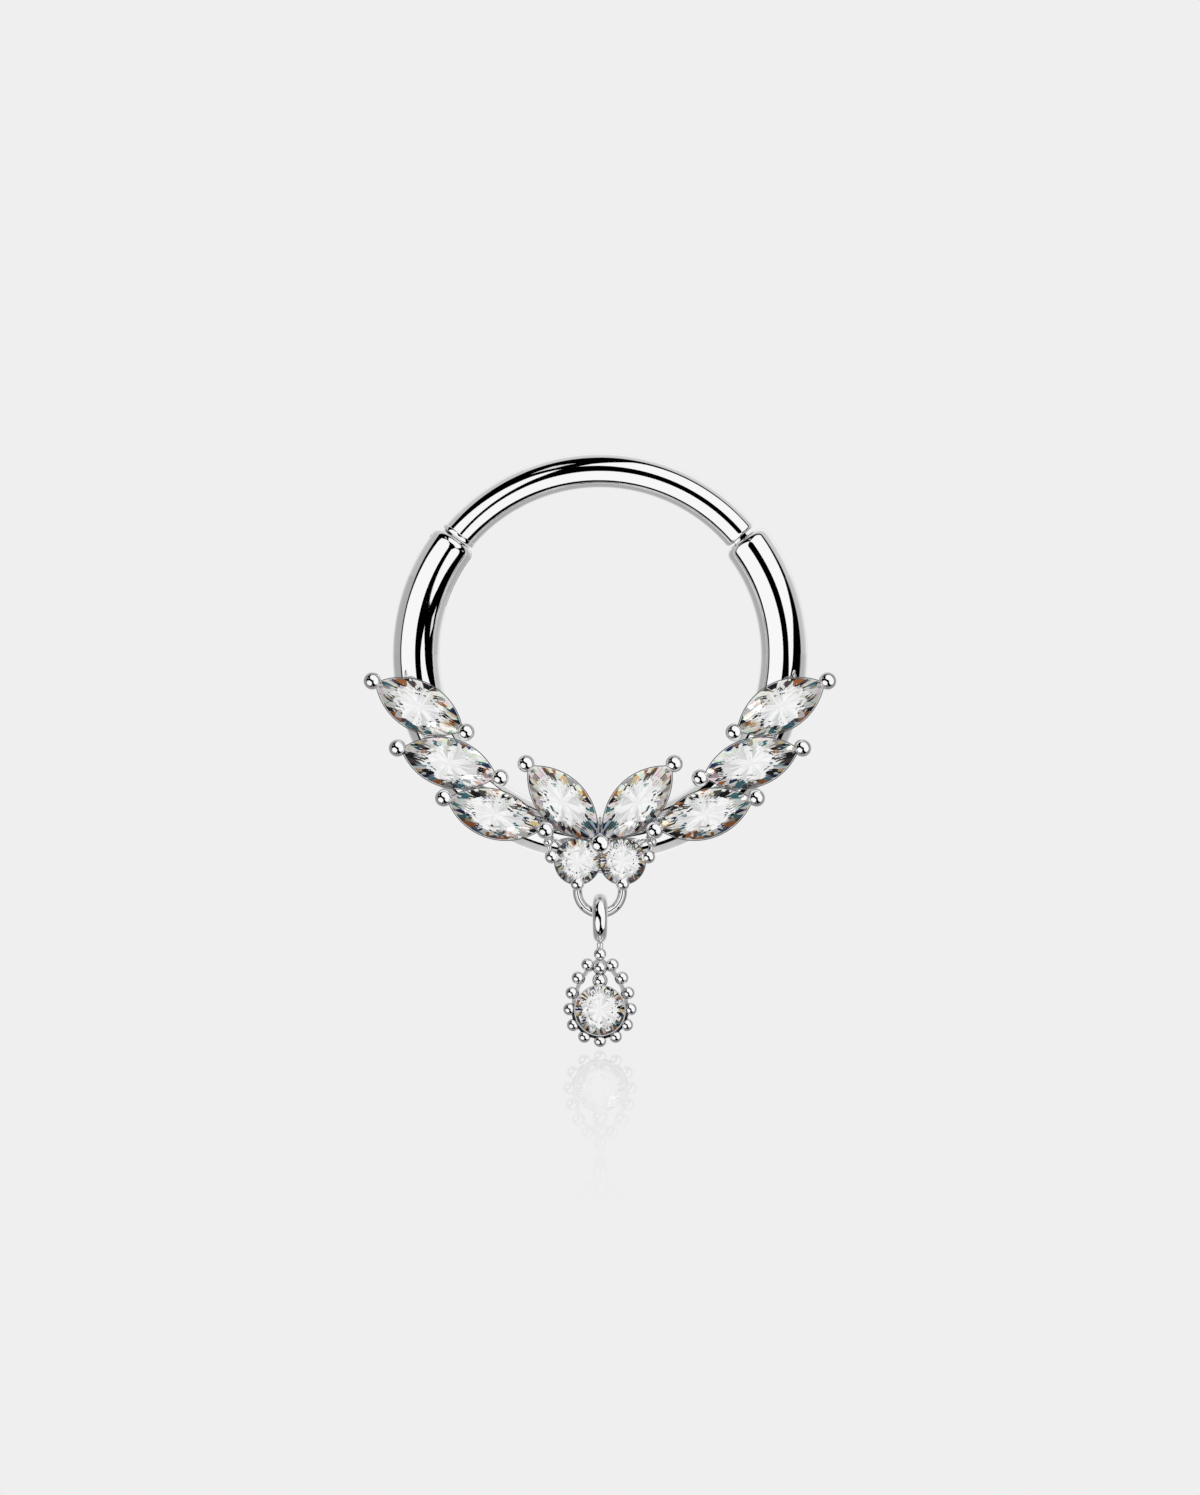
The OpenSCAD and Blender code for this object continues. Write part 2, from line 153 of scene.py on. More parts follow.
class RingSizes(bpy.types.PropertyGroup):
    inner_width: length("Inner width", "Clear width inside the thick tube", 0.01)
    tube_width: length("Tube", "Thickness of the lower tube", 0.0015)
    wire_width: length("Wire", "Thickness of the hinged wire", 0.0011)
    tube_rounding: length("Tube rounding", "Rounding of the tube's ends", 0.00027)
    wire_rounding: length("Wire rounding", "Rounding of the wire's free end", 0.0001)
    pin_width: length("Pin", "Thickness of the hinge pin", 0.0003)
    opening: bpy.props.FloatProperty(
        name="Opening", description="Angle from the top of the ring to each tube end",
        default=math.radians(53.7), subtype="ANGLE", unit="ROTATION",
    )


class StoneSizes(bpy.types.PropertyGroup):
    marquise_length: length("Marquise length", "Length of a marquise stone", 0.003)
    marquise_width: length("Marquise width", "Width of a marquise stone", 0.00146)
    round_width: length("Round", "Width of the two round stones", 0.00135)
    drop_width: length("Drop stone", "Width of the drop's stone", 0.0015)
    rim: length("Rim", "Metal that shows round a stone", 0.00005)
    ball_width: length("Balls", "Width of a marquise stone's prong ball", 0.00056)
    centre_ball_width: length("Centre ball", "Width of the crest's ball", 0.00068)
    small_ball_width: length("Small balls", "Width of a round stone's prong ball", 0.00044)
    prong_width: length("Prongs", "Thickness of the prongs under the balls", 0.0003)


class DropSizes(bpy.types.PropertyGroup):
    loop_width: length("Loop", "Outer width of the loop under the crest", 0.0017)
    loop_wire: length("Loop wire", "Thickness of the loop's wire", 0.0003)
    bail_height: length("Bail", "Height of the drop's bail", 0.00158)
    bail_wire: length("Bail wire", "Thickness of the bail's wire", 0.00047)
    pear_width: length("Pear width", "Width of the pear through its beads", 0.0019)
    pear_height: length("Pear height", "Height of the pear above its stone", 0.00175)
    bead_width: length("Beads", "Width of a bead", 0.00041)


class RingFinish(bpy.types.PropertyGroup):
    metal: bpy.props.FloatVectorProperty(
        name="Metal", description="Colour of the polished metal", subtype="COLOR",
        size=3, min=0, max=1, default=(0.93, 0.93, 0.94),
    )
    stone: bpy.props.FloatVectorProperty(
        name="Stone", description="Tint of the clear stones", subtype="COLOR",
        size=3, min=0, max=1, default=(0.99, 0.995, 1.0),
    )
    # Scale of the painted fire round the star on a stone's back
    sparkle: bpy.props.FloatProperty(
        name="Sparkle", description="How finely a stone breaks the light round its star",
        default=6.2, min=1, max=50,
    )
    ground: bpy.props.FloatProperty(
        name="Ground", description="Brightness of the floor and the backdrop",
        default=0.863, min=0, max=2,
    )
    mirror: bpy.props.FloatProperty(
        name="Floor gloss", description="Share of the floor's light that is reflected",
        default=0.16, min=0, max=1,
    )


class Layout:
    """Places on the ring in millimetres, worked out from the sizes."""

    # Shares of a stone's width, and sizes of its girdle, its clearance and its cup
    pavilion = 0.42
    crown = 0.15
    table = 0.56
    girdle = 0.02
    gap = 0.02
    wall = 0.25
    # How far things stand off from their neighbours
    cup_off_tube = 0.05
    ball_lift = 0.06
    prong_off_stone = 0.16
    crest_off_middle = 0.24
    crest_below_tube = 0.155
    crest_shift = 0.05
    round_off_middle = 0.01
    round_off_ball = 0.22
    side_ball_out = 0.14
    under_ball_out = 0.01
    loop_off_round = 0.24
    bail_play = 0.02
    neck_gap = 0.12
    drop_stone_front = 0.3

    def __init__(self):
        scene = bpy.context.scene
        ring = scene.ring_sizes
        stones = scene.ring_stones
        drop = scene.ring_drop
        self.tube_r = ring.tube_width * MM / 2
        self.tube_rounding = ring.tube_rounding * MM
        self.wire_r = ring.wire_width * MM / 2
        self.wire_rounding = ring.wire_rounding * MM
        self.pin_r = ring.pin_width * MM / 2
        self.ring_r = ring.inner_width * MM / 2 + self.tube_r
        self.opening = ring.opening
        self.long = stones.marquise_length * MM
        self.wide = stones.marquise_width * MM
        self.rim = stones.rim * MM
        self.prong_r = stones.prong_width * MM / 2
        self.girdle_y = -(self.tube_r + self.cup_off_tube + self.pavilion * self.wide)
        self.lens_r = (self.long**2 + self.wide**2) / (4 * self.wide)
        self.lens_offset = self.lens_r - self.wide / 2
        self.prong_at = self.long / 2 + self.prong_off_stone
        self.crest_z = -2 * self.ring_r - self.crest_below_tube
        self.crest_tilt = math.radians(46.5)
        self.round_r = stones.round_width * MM / 2
        self.round_x = -(self.round_r + self.gap + self.round_off_middle)
        self.round_z = self.crest_z - math.sqrt((self.round_r + self.round_off_ball) ** 2 - self.round_x**2)
        self.loop_y = -0.95
        self.loop_wire_r = drop.loop_wire * MM / 2
        self.loop_r = drop.loop_width * MM / 2 - self.loop_wire_r
        self.loop_z = self.round_z - self.round_r - self.loop_off_round
        self.bail_wire_r = drop.bail_wire * MM / 2
        self.bail_r = drop.bail_height * MM / 2 - self.bail_wire_r
        bail_top = self.loop_z - self.loop_r + self.loop_wire_r + self.bail_play + 2 * self.bail_wire_r
        self.bail_z = bail_top - drop.bail_height * MM / 2
        self.gem_r = stones.drop_width * MM / 2
        self.bead_r = drop.bead_width * MM / 2
        self.pear_r = drop.pear_width * MM / 2
        self.pear_h = drop.pear_height * MM
        self.pear_top = bail_top - drop.bail_height * MM - self.neck_gap - self.bead_r
        self.drop_z = self.pear_top - self.pear_h
        self.drop_girdle_y = self.loop_y - self.drop_stone_front
        self.flank_r = (self.pear_h**2 + self.pear_r**2) / (2 * self.pear_r)
        self.flank_sweep = math.asin(self.pear_h / self.flank_r)
        self.flank_l = self.flank_r * self.flank_sweep
        self.half_l = self.flank_l + self.pear_r * QUARTER

    def along(self, distance):
        """Angle along the ring that a length takes up."""
        return distance / self.ring_r

    def on_ring(self, angle):
        """Frame at an angle from the top, clockwise, with +Z outward."""
        up = Matrix.Translation((0, 0, self.ring_r))
        return up.inverted() @ Matrix.Rotation(angle, 4, "Y") @ up

    def left_end(self):
        """Frame at the left tube end, with +X out of the tube."""
        return self.on_ring(-self.opening) @ Matrix.Translation((self.tube_rounding, 0, 0))

    def hinge(self):
        """Frame at the middle of the hinge pin."""
        return self.left_end() @ Matrix.Translation((-PIN_INSET, 0, self.tube_r - EYE_ROOM))

    def wing(self, stone):
        turn = self.along(stone["along"] * self.wide)
        reach = self.ring_r + stone["out"] * self.wide
        spot = (-reach * math.sin(turn), self.girdle_y, -self.ring_r - reach * math.cos(turn))
        return facing(spot, turn - stone["turn"])

    def crest(self):
        reach = self.long / 2 + self.crest_off_middle
        across = reach * math.cos(self.crest_tilt)
        rise = reach * math.sin(self.crest_tilt)
        spot = facing((-across, self.girdle_y, self.crest_z + rise), self.crest_tilt)
        return spot @ Matrix.Translation((0, self.crest_shift, 0))

    def round_stone(self):
        return facing((self.round_x, self.girdle_y, self.round_z))

    def pear(self, y):
        """Frame at the middle of the drop's stone, at a depth."""
        return facing((0, y, self.drop_z))

    def pear_point(self, way):
        """Point of the pear's outline at a length from its top, on the right."""
        if way < self.flank_l:
            turn = self.flank_sweep * (1 - way / self.flank_l)
            return (
                self.flank_r * math.cos(turn) - self.flank_r + self.pear_r,
                self.flank_r * math.sin(turn),
            )
        turn = (self.flank_l - way) / self.pear_r
        return self.pear_r * math.cos(turn), self.pear_r * math.sin(turn)


def facing(spot, slope=0.0):
    """Frame in front of the ring with +Z forward, turned down to the right by a slope."""
    return (
        Matrix.Translation(spot)
        @ Matrix.Rotation(QUARTER, 4, "X")
        @ Matrix.Rotation(-slope, 4, "Z")
    )


# Modelling steps


def leave_edit():
    if bpy.context.mode != "OBJECT":
        bpy.ops.object.mode_set(mode="OBJECT")


def let_go():
    leave_edit()
    bpy.ops.object.select_all(action="DESELECT")


def take(*pieces):
    let_go()
    for piece in pieces:
        piece.select_set(True)
    bpy.context.view_layer.objects.active = pieces[0]


def place(piece, matrix):
    """Puts a piece at a place and keeps the place in its mesh."""
    take(piece)
    piece.matrix_world = matrix
    bpy.ops.object.transform_apply(location=True, rotation=True, scale=True)
    if matrix.determinant() < 0:
        bpy.ops.object.mode_set(mode="EDIT")
        bpy.ops.mesh.select_all(action="SELECT")
        bpy.ops.mesh.normals_make_consistent(inside=False)
        leave_edit()
    return piece


def copy_to(piece, matrix):
    """A copy of a piece with its own mesh, at a place."""
    take(piece)
    bpy.ops.object.duplicate()
    return place(bpy.context.object, matrix)


def discard(*pieces):
    for piece in pieces:
        bpy.data.objects.remove(piece)


def pick(piece, kind, test):
    """Enters edit mode with what passes the test selected: faces, edges or vertices, by their middle."""
    take(piece)
    bpy.ops.object.mode_set(mode="EDIT")
    bpy.ops.mesh.select_mode(type=kind)
    bpy.ops.mesh.select_all(action="DESELECT")
    leave_edit()
    mesh = piece.data
    if kind == "FACE":
        for face in mesh.polygons:
            face.select = test(face.center)
    elif kind == "EDGE":
        for edge in mesh.edges:
            a, b = (mesh.vertices[i].co for i in edge.vertices)
            edge.select = test((a + b) / 2)
    else:
        for vertex in mesh.vertices:
            vertex.select = test(vertex.co)
    bpy.ops.object.mode_set(mode="EDIT")


def push(way, share=None, centre=None):
    """Extrudes what is selected along a way, and resizes it about a centre."""
    bpy.ops.mesh.extrude_region_move(TRANSFORM_OT_translate={"value": tuple(way)})
    if share is not None:
        bpy.ops.transform.resize(value=(share,) * 3, center_override=tuple(centre))


def bevel(piece, test, offset, segments):
    """Rounds the edges that pass the test."""
    pick(piece, "EDGE", test)
    bpy.ops.mesh.bevel(offset=offset, segments=segments, affect="EDGES")
    leave_edit()


def combine(piece, other, operation):
    """Applies a Boolean of two closed pieces, and removes the second."""
    take(piece)
    step = piece.modifiers.new("Combine", "BOOLEAN")
    step.operation = operation
    step.solver = "EXACT"
    step.object = other
    bpy.ops.object.modifier_apply(modifier=step.name)
    discard(other)


def join(pieces):
    take(*pieces)
    if len(pieces) > 1:
        bpy.ops.object.join()
    return bpy.context.object


def write(piece, name, values, domain="POINT", kind="FLOAT"):
    """Writes a value, or a vector, for each vertex or face into a piece's mesh."""
    if kind == "FLOAT":
        piece.data.attributes.new(name, kind, domain).data.foreach_set("value", values)
    else:
        flat = [part for vector in values for part in vector]
        piece.data.attributes.new(name, kind, domain).data.foreach_set("vector", flat)


def finish_piece(piece, name, body, nodes, material, smooth=35):
    """Brings a piece to metres, shades it and lets it ride on its body."""
    place(piece, Matrix.Scale(1 / MM, 4))
    piece.name = name
    piece.data.name = name
    take(piece)
    bpy.ops.object.shade_smooth_by_angle(angle=math.radians(smooth))
    piece.data.materials.clear()
    piece.data.materials.append(material)
    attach(piece, body)
    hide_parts(*nodes)
    return piece


def finish_metal(pieces, name, body, node, material=None):
    """Joins metal pieces to one and finishes it."""
    finish_piece(join(pieces), name, body, [node], material or polished_metal())


def block(size, middle):
    bpy.ops.mesh.primitive_cube_add(size=1)
    return place(bpy.context.object, Matrix.Translation(middle) @ Matrix.Diagonal((*size, 1)))


def rod(radius, depth, sides=64, top=None):
    """A straight rod or cone along Z, centred on the origin."""
    let_go()
    bpy.ops.mesh.primitive_cone_add(
        vertices=sides, radius1=radius, radius2=radius if top is None else top, depth=depth
    )
    return bpy.context.object


def sphere(radius, rings):
    let_go()
    bpy.ops.mesh.primitive_uv_sphere_add(segments=2 * rings, ring_count=rings, radius=radius)
    return bpy.context.object


def hoop(radius, sides):
    let_go()
    bpy.ops.mesh.primitive_circle_add(vertices=sides, radius=radius, fill_type="NOTHING")
    return bpy.context.object


def sweep(ring, steps, angle, centre, axis):
    """Turns an open hoop about an axis, which leaves a tube."""
    pick(ring, "VERT", lambda at: True)
    bpy.ops.mesh.spin(steps=steps, angle=angle, center=centre, axis=axis)
    leave_edit()
    return ring


def bent_bar(layout, start, stop, radius, steps, sides=96):
    """An open round bar that follows the ring clockwise between two angles from the top."""
    bar = place(hoop(radius, sides), layout.on_ring(start) @ Matrix.Rotation(QUARTER, 4, "Y"))
    return sweep(bar, steps, start - stop, (0, 0, -layout.ring_r), (0, 1, 0))


def wire_ring(radius, wire_r, steps=96, sides=48):
    """A closed ring of round wire in the XY plane."""
    spot = Matrix.Translation((radius, 0, 0)) @ Matrix.Rotation(QUARTER, 4, "X")
    ring = place(hoop(wire_r, sides), spot)
    return outward(sweep(ring, steps, FULL, (0, 0, 0), (0, 0, 1)))


def close_end(layout, bar, angle, out, radius, rounding, steps=8):
    """Closes a bent bar's end at an angle with a rounded edge. out is 1 clockwise and -1 back."""
    end = layout.on_ring(angle)
    centre = end.translation.copy()
    way = end.to_3x3() @ Vector((out, 0, 0))
    pick(bar, "VERT", lambda at: abs((at - centre).dot(way)) < 1e-4 and (at - centre).length < 2 * radius)
    before = Vector((0, radius))
    for step in range(1, steps + 1):
        turn = QUARTER * step / steps
        now = Vector((rounding * math.sin(turn), radius - rounding + rounding * math.cos(turn)))
        centre += way * (now.x - before.x)
        push(way * (now.x - before.x), now.y / before.y, centre)
        before = now
    bpy.ops.mesh.edge_face_add()
    leave_edit()


def outward(piece):
    """Turns a closed piece's faces outward."""
    pick(piece, "FACE", lambda at: True)
    bpy.ops.mesh.remove_doubles(threshold=1e-5)
    bpy.ops.mesh.normals_make_consistent(inside=False)
    leave_edit()
    return piece


# Materials


class Nodes:
    """Short ways to add nodes to a tree. All but add give the new node's output."""

    def __init__(self, tree):
        self.tree = tree

    def feed(self, socket, value):
        """Links an output to a socket, or writes a plain value on it."""
        if isinstance(value, bpy.types.NodeSocket):
            self.tree.links.new(value, socket)
        else:
            socket.default_value = value

    def add(self, kind, **inputs):
        node = self.tree.nodes.new(kind)
        for name, value in inputs.items():
            self.feed(node.inputs[name.replace("_", " ")], value)
        return node

    def math(self, kind, *values, clamp=False):
        node = self.add("ShaderNodeMath")
        node.operation = kind
        node.use_clamp = clamp
        for socket, value in zip(node.inputs, values):
            self.feed(socket, value)
        return node.outputs[0]

    def spread(self, value, low, high, start=0.0, stop=1.0):
        """Maps one range of values to another, and goes no further than its ends."""
        node = self.add("ShaderNodeMapRange", Value=value, From_Min=low, From_Max=high)
        self.feed(node.inputs["To Min"], start)
        self.feed(node.inputs["To Max"], stop)
        return node.outputs["Result"]

    def blend(self, share, first, second, kind="MIX"):
        node = self.add("ShaderNodeMix")
        node.data_type = "RGBA"
        node.blend_type = kind
        for n, value in ((0, share), (6, first), (7, second)):
            self.feed(node.inputs[n], value)
        return node.outputs[2]

    def ramp(self, value, colours, interpolation="LINEAR"):
        node = self.add("ShaderNodeValToRGB", Fac=value)
        node.color_ramp.interpolation = interpolation
        stops = node.color_ramp.elements
        for n, (position, colour) in enumerate(colours):
            stop = stops[n] if n < 2 else stops.new(position)
            stop.position = position
            stop.color = (*colour, 1)
        return node.outputs["Color"]

    def attribute(self, name, output="Fac"):
        node = self.add("ShaderNodeAttribute")
        node.attribute_name = name
        return node.outputs[output]


def principled(name, **inputs):
    """Makes a material with values on its Principled shader, and gives its nodes and that shader."""
    material = bpy.data.materials.new(name)
    material.use_nodes = True
    shader = material.node_tree.nodes["Principled BSDF"]
    for socket, value in inputs.items():
        shader.inputs[socket.replace("_", " ")].default_value = value
    return Nodes(material.node_tree), shader


def bare(name):
    """A new material without a shader, its nodes and the socket for its surface."""
    nodes, shader = principled(name)
    nodes.tree.nodes.remove(shader)
    return bpy.data.materials[name], nodes, nodes.tree.nodes["Material Output"].inputs["Surface"]


def polish_group():
    """Fine polishing marks: a roughness from noise in the piece's own coordinates."""
    group = bpy.data.node_groups.get("Polish marks")
    if group:
        return group
    group = bpy.data.node_groups.new("Polish marks", "ShaderNodeTree")
    for name in ("Scale", "Least", "Most"):
        group.interface.new_socket(name, in_out="INPUT", socket_type="NodeSocketFloat")
    group.interface.new_socket("Roughness", in_out="OUTPUT", socket_type="NodeSocketFloat")
    nodes = Nodes(group)
    given = nodes.add("NodeGroupInput").outputs
    spot = nodes.add("ShaderNodeTexCoord").outputs["Object"]
    marks = nodes.add("ShaderNodeTexNoise", Vector=spot, Scale=given["Scale"], Detail=3.0, Roughness=0.6)
    rough = nodes.spread(marks.outputs["Fac"], 0.35, 0.7, given["Least"], given["Most"])
    nodes.add("NodeGroupOutput", Roughness=rough)
    return group


def polish(nodes, shader, scale, least, most):
    """Gives a shader polishing marks of a scale, between two roughnesses."""
    marks = nodes.add("ShaderNodeGroup")
    marks.node_tree = polish_group()
    for name, value in (("Scale", scale), ("Least", least), ("Most", most)):
        marks.inputs[name].default_value = value
    nodes.feed(shader.inputs["Roughness"], marks.outputs["Roughness"])


def polished_metal():
    """Mirror-polished white metal with a little haze from handling."""
    name = "Polished white metal"
    if name not in bpy.data.materials:
        colour = (*bpy.context.scene.ring_finish.metal, 1)
        nodes, shader = principled(name, Base_Color=colour, Metallic=1.0)
        polish(nodes, shader, 2500.0, 0.015, 0.05)
    return bpy.data.materials[name]


def metal_with_painted_shade():
    """The same white metal with painted shade, which darkens it in the hollows between beads and at the drop
    cup's front rim.
    """
    name = "White metal with dark recesses"
    if name not in bpy.data.materials:
        material = polished_metal().copy()
        material.name = name
        nodes = Nodes(material.node_tree)
        # Painted shade: blends the metal toward near black where the written shade is high
        edge = nodes.spread(nodes.attribute("painted_hollow_shade"), 0.2, 0.9)
        edge.node.interpolation_type = "SMOOTHSTEP"
        colour = (*bpy.context.scene.ring_finish.metal, 1)
        colour = nodes.blend(edge, colour, (0.02, 0.02, 0.022, 1))
        nodes.feed(nodes.tree.nodes["Principled BSDF"].inputs["Base Color"], colour)
    return bpy.data.materials[name]


def clear_stone():
    """Clear cut stone, polished to a hard gloss."""
    name = "Clear cut stone"
    if name not in bpy.data.materials:
        colour = (*bpy.context.scene.ring_finish.stone, 1)
        nodes, shader = principled(name, Base_Color=colour, Transmission_Weight=1.0, IOR=2.0)
        polish(nodes, shader, 1500.0, 0.0, 0.015)
    return bpy.data.materials[name]


def stone_painted_light(nodes):
    """Painted light on a stone's back: a pale star of painted reflections in the middle, and broken colours
    of painted fire that it ends in raggedly.
    """
    sparkle = bpy.context.scene.ring_finish.sparkle
    across, up, reach = nodes.add("ShaderNodeSeparateXYZ", Vector=nodes.attribute("cut", "Vector")).outputs
    rays = nodes.attribute("rays")
    turn = nodes.math("MULTIPLY", nodes.math("ARCTAN2", up, across), rays)
    out = nodes.math("DIVIDE", reach, nodes.math("MULTIPLY", rays, 1.8))
    number = nodes.math("MULTIPLY", nodes.attribute("number"), 0.31)
    spot = nodes.add("ShaderNodeCombineXYZ", X=turn, Y=out, Z=number).outputs[0]
    tints = []
    parts = []
    for scale in (sparkle, sparkle * 2.1):
        tint = nodes.add("ShaderNodeTexVoronoi", Vector=spot, Scale=scale).outputs["Color"]
        tints.append(tint)
        parts.append(nodes.add("ShaderNodeSeparateColor", Color=tint).outputs)
    coarse, fine = parts
    # Painted shade: this value grows toward each stone's lower, outer side
    fall = nodes.attribute("fall")

    # Broken colours of painted fire, with painted white glints that get rarer outward and lower down, and
    # painted shade toward the stone's lower, outer side
    shimmer = nodes.blend(0.68, tints[1], (1.1, 1.1, 1.1, 1.0))
    broken = nodes.blend(1.0, nodes.ramp(coarse["Red"], STONE_FIRE, "CONSTANT"), shimmer, "MULTIPLY")
    outward_share = nodes.spread(reach, 0.5, 0.8, 0.62, 0.92)
    rare = nodes.math("ADD", nodes.spread(fall, -0.5, 0.5, -0.03, 0.08), outward_share)
    painted_glints = nodes.math("GREATER_THAN", fine["Blue"], rare)
    broken = nodes.blend(painted_glints, broken, (0.98, 0.98, 0.96, 1.0))
    # Painted shade: darker toward the lower, outer side of each stone
    broken = nodes.blend(1.0, broken, nodes.spread(fall, -0.7, 0.6, 0.95, 0.4), "MULTIPLY")

    # The star of painted reflections, in the painted shade of each back facet and with faint patches
    star = nodes.attribute("shade")
    for patches in (
        nodes.spread(coarse["Green"], 0.2, 0.8, 0.89, 1.05), nodes.spread(fine["Red"], 0.0, 1.0, 0.93, 1.0)
    ):
        star = nodes.blend(1.0, star, patches, "MULTIPLY")
    ragged = nodes.math("ADD", reach, nodes.spread(coarse["Blue"], 0.0, 1.0, -0.09, 0.11))
    return nodes.blend(nodes.spread(ragged, 0.54, 0.56), star, broken)


def stone_back_painted_glow():
    """The back facets of a cut stone, which glow with painted light in place of the light that it turns back.
    """
    name = "Stone back facets"
    if name not in bpy.data.materials:
        nodes, shader = principled(
            name, Base_Color=(0.04, 0.04, 0.05, 1), Roughness=0.3, Specular_IOR_Level=0.0,
            Emission_Strength=1.1,
        )
        nodes.feed(shader.inputs["Emission Color"], stone_painted_light(nodes))
    return bpy.data.materials[name]


# Pieces


class RING_OT_lower_tube(bpy.types.Operator):
    """Model the thick lower tube with its hinge fork and clasp pocket"""

    bl_idname = "ring.lower_tube"
    bl_label = "Lower tube"

    def execute(self, context):
        at = Layout()
        stop = FULL - at.opening
        tube = bent_bar(at, at.opening, stop, at.tube_r, 220)
        close_end(at, tube, at.opening, -1, at.tube_r, at.tube_rounding)
        close_end(at, tube, stop, 1, at.tube_r, at.tube_rounding)
        outward(tube)
        fork = block(
            (SLOT_DEPTH + SLOT_PAST, SLOT_THICK, 2 * SLOT_PAST), ((SLOT_PAST - SLOT_DEPTH) / 2, 0, 0)
        )
        swing_tall = SLOT_PAST + SWING_TOP
        swing_room = block(
            (SWING_DEPTH, SLOT_THICK, swing_tall), (-SWING_DEPTH / 2, 0, SWING_TOP - swing_tall / 2)
        )
        combine(fork, swing_room, "UNION")
        combine(tube, place(fork, at.left_end()), "DIFFERENCE")
        pocket_l = POCKET_DEPTH + POCKET_PAST + at.tube_rounding
        pocket = block(
            (pocket_l, SLOT_THICK, POCKET_HEIGHT), (pocket_l / 2 - POCKET_DEPTH, 0, POCKET_SHIFT)
        )
        combine(tube, place(pocket, MIRRORED @ at.left_end()), "DIFFERENCE")
        finish_metal([tube], "lower_tube", RING_BODY, "ring_frame")
        return {"FINISHED"}


def hinge_tongue(at):
    """The flat tongue that fills the fork, with an eye round the pin."""
    across = Matrix.Rotation(QUARTER, 4, "X")
    tongue = place(rod(EYE_R, TONGUE_THICK, 64), across)
    reach = PIN_INSET + FOOT_GAP + FOOT_THICK / 2
    combine(tongue, block((reach, TONGUE_THICK, EYE_R), (reach / 2, 0, -EYE_R / 2)), "UNION")
    bore = rod(at.pin_r + PIN_PLAY, TONGUE_THICK + 2 * BORE_PAST, 48)
    combine(tongue, place(bore, across), "DIFFERENCE")
    return place(tongue, at.hinge())


class RING_OT_upper_segment(bpy.types.Operator):
    """Model the thinner hinged wire with its foot, tongue and clasp nib"""

    bl_idname = "ring.upper_segment"
    bl_label = "Upper segment"

    def execute(self, context):
        at = Layout()
        foot_at = FOOT_GAP + FOOT_THICK / 2
        foot = at.opening - at.along(at.tube_rounding + foot_at)
        free = at.opening - at.along(at.tube_rounding + CLASP_GAP + at.wire_rounding)
        wire = bent_bar(at, -foot, free, at.wire_r, 160, 80)
        close_end(at, wire, free, 1, at.wire_r, at.wire_rounding, 5)
        close_end(at, wire, -foot, -1, at.wire_r, 0.01, 1)
        outward(wire)
        disc = rod(at.wire_r + FOOT_LIP, FOOT_THICK, 80)
        bevel(disc, lambda p: abs(abs(p.z) - FOOT_THICK / 2) < 1e-4, 0.03, 3)
        place(disc, at.left_end() @ Matrix.Translation((foot_at, 0, 0)) @ Matrix.Rotation(QUARTER, 4, "Y"))
        nib_l = NIB_DEPTH + CLASP_GAP + 2 * at.wire_rounding
        nib = block((nib_l, TONGUE_THICK, NIB_HEIGHT), (nib_l / 2 - NIB_DEPTH, 0, NIB_SHIFT))
        bevel(nib, lambda p: p.x < 0, 0.04, 3)
        place(nib, MIRRORED @ at.left_end())
        pieces = [wire, disc, hinge_tongue(at), nib]
        finish_metal(pieces, "upper_segment", SEGMENT_BODY, "hinged_segment")
        return {"FINISHED"}


class RING_OT_hinge_pin(bpy.types.Operator):
    """Model the pin that the segment turns on"""

    bl_idname = "ring.hinge_pin"
    bl_label = "Hinge pin"

    def execute(self, context):
        at = Layout()
        pin = rod(at.pin_r, PIN_LENGTH, 48)
        bevel(pin, lambda p: abs(abs(p.z) - PIN_LENGTH / 2) < 1e-4, 0.04, 4)
        place(pin, at.hinge() @ Matrix.Rotation(QUARTER, 4, "X"))
        finish_metal([pin], "pin", RING_BODY, "hinge_pin")
        return {"FINISHED"}


def marquise_lens(at, growth, heights, sides=256):
    """Two cones whose common part has a marquise's outline, grown at the back and in front."""
    halves = []
    for side in (-1, 1):
        half = rod(at.lens_r + growth[0], heights[1] - heights[0], sides, at.lens_r + growth[1])
        halves.append(place(half, Matrix.Translation((0, side * at.lens_offset, sum(heights) / 2))))
    return halves


def marquise_cup(at):
    """A boat-shaped cup with a seat cut for its stone, in the stone's frame."""
    half = at.wide / 2
    depth = at.pavilion * at.wide
    cup, other = marquise_lens(at, (at.rim - half, at.rim), (-depth - at.wall, 0))
    combine(cup, other, "INTERSECT")
    seat, other = marquise_lens(at, (0.001 - half, at.gap), (-depth - at.gap, -SEAT_LIP))
    for part in (seat, other):
        pick(part, "FACE", lambda p: abs(p.z + SEAT_LIP) < 1e-4)
        push((0, 0, 2 * SEAT_LIP))
        leave_edit()
    combine(seat, other, "INTERSECT")
    combine(cup, seat, "DIFFERENCE")
    return cup


def round_cup(at, radius, wall):
    """A cup that narrows to the back, with a seat cut for a round stone, in the stone's frame."""
    depth = at.pavilion * radius * 2
    cup = rod(radius * CUP_BACK, depth + wall, 96, radius + at.rim)
    place(cup, Matrix.Translation((0, 0, -(depth + wall) / 2)))
    pick(cup, "FACE", lambda p: abs(p.z) < 1e-5)
    bpy.ops.mesh.inset(thickness=at.rim - at.gap)
    push((0, 0, -SEAT_LIP))
    fall = (depth + at.gap - SEAT_LIP) * 0.97
    push((0, 0, -fall), 0.03, (0, 0, -SEAT_LIP - fall))
    leave_edit()
    return cup


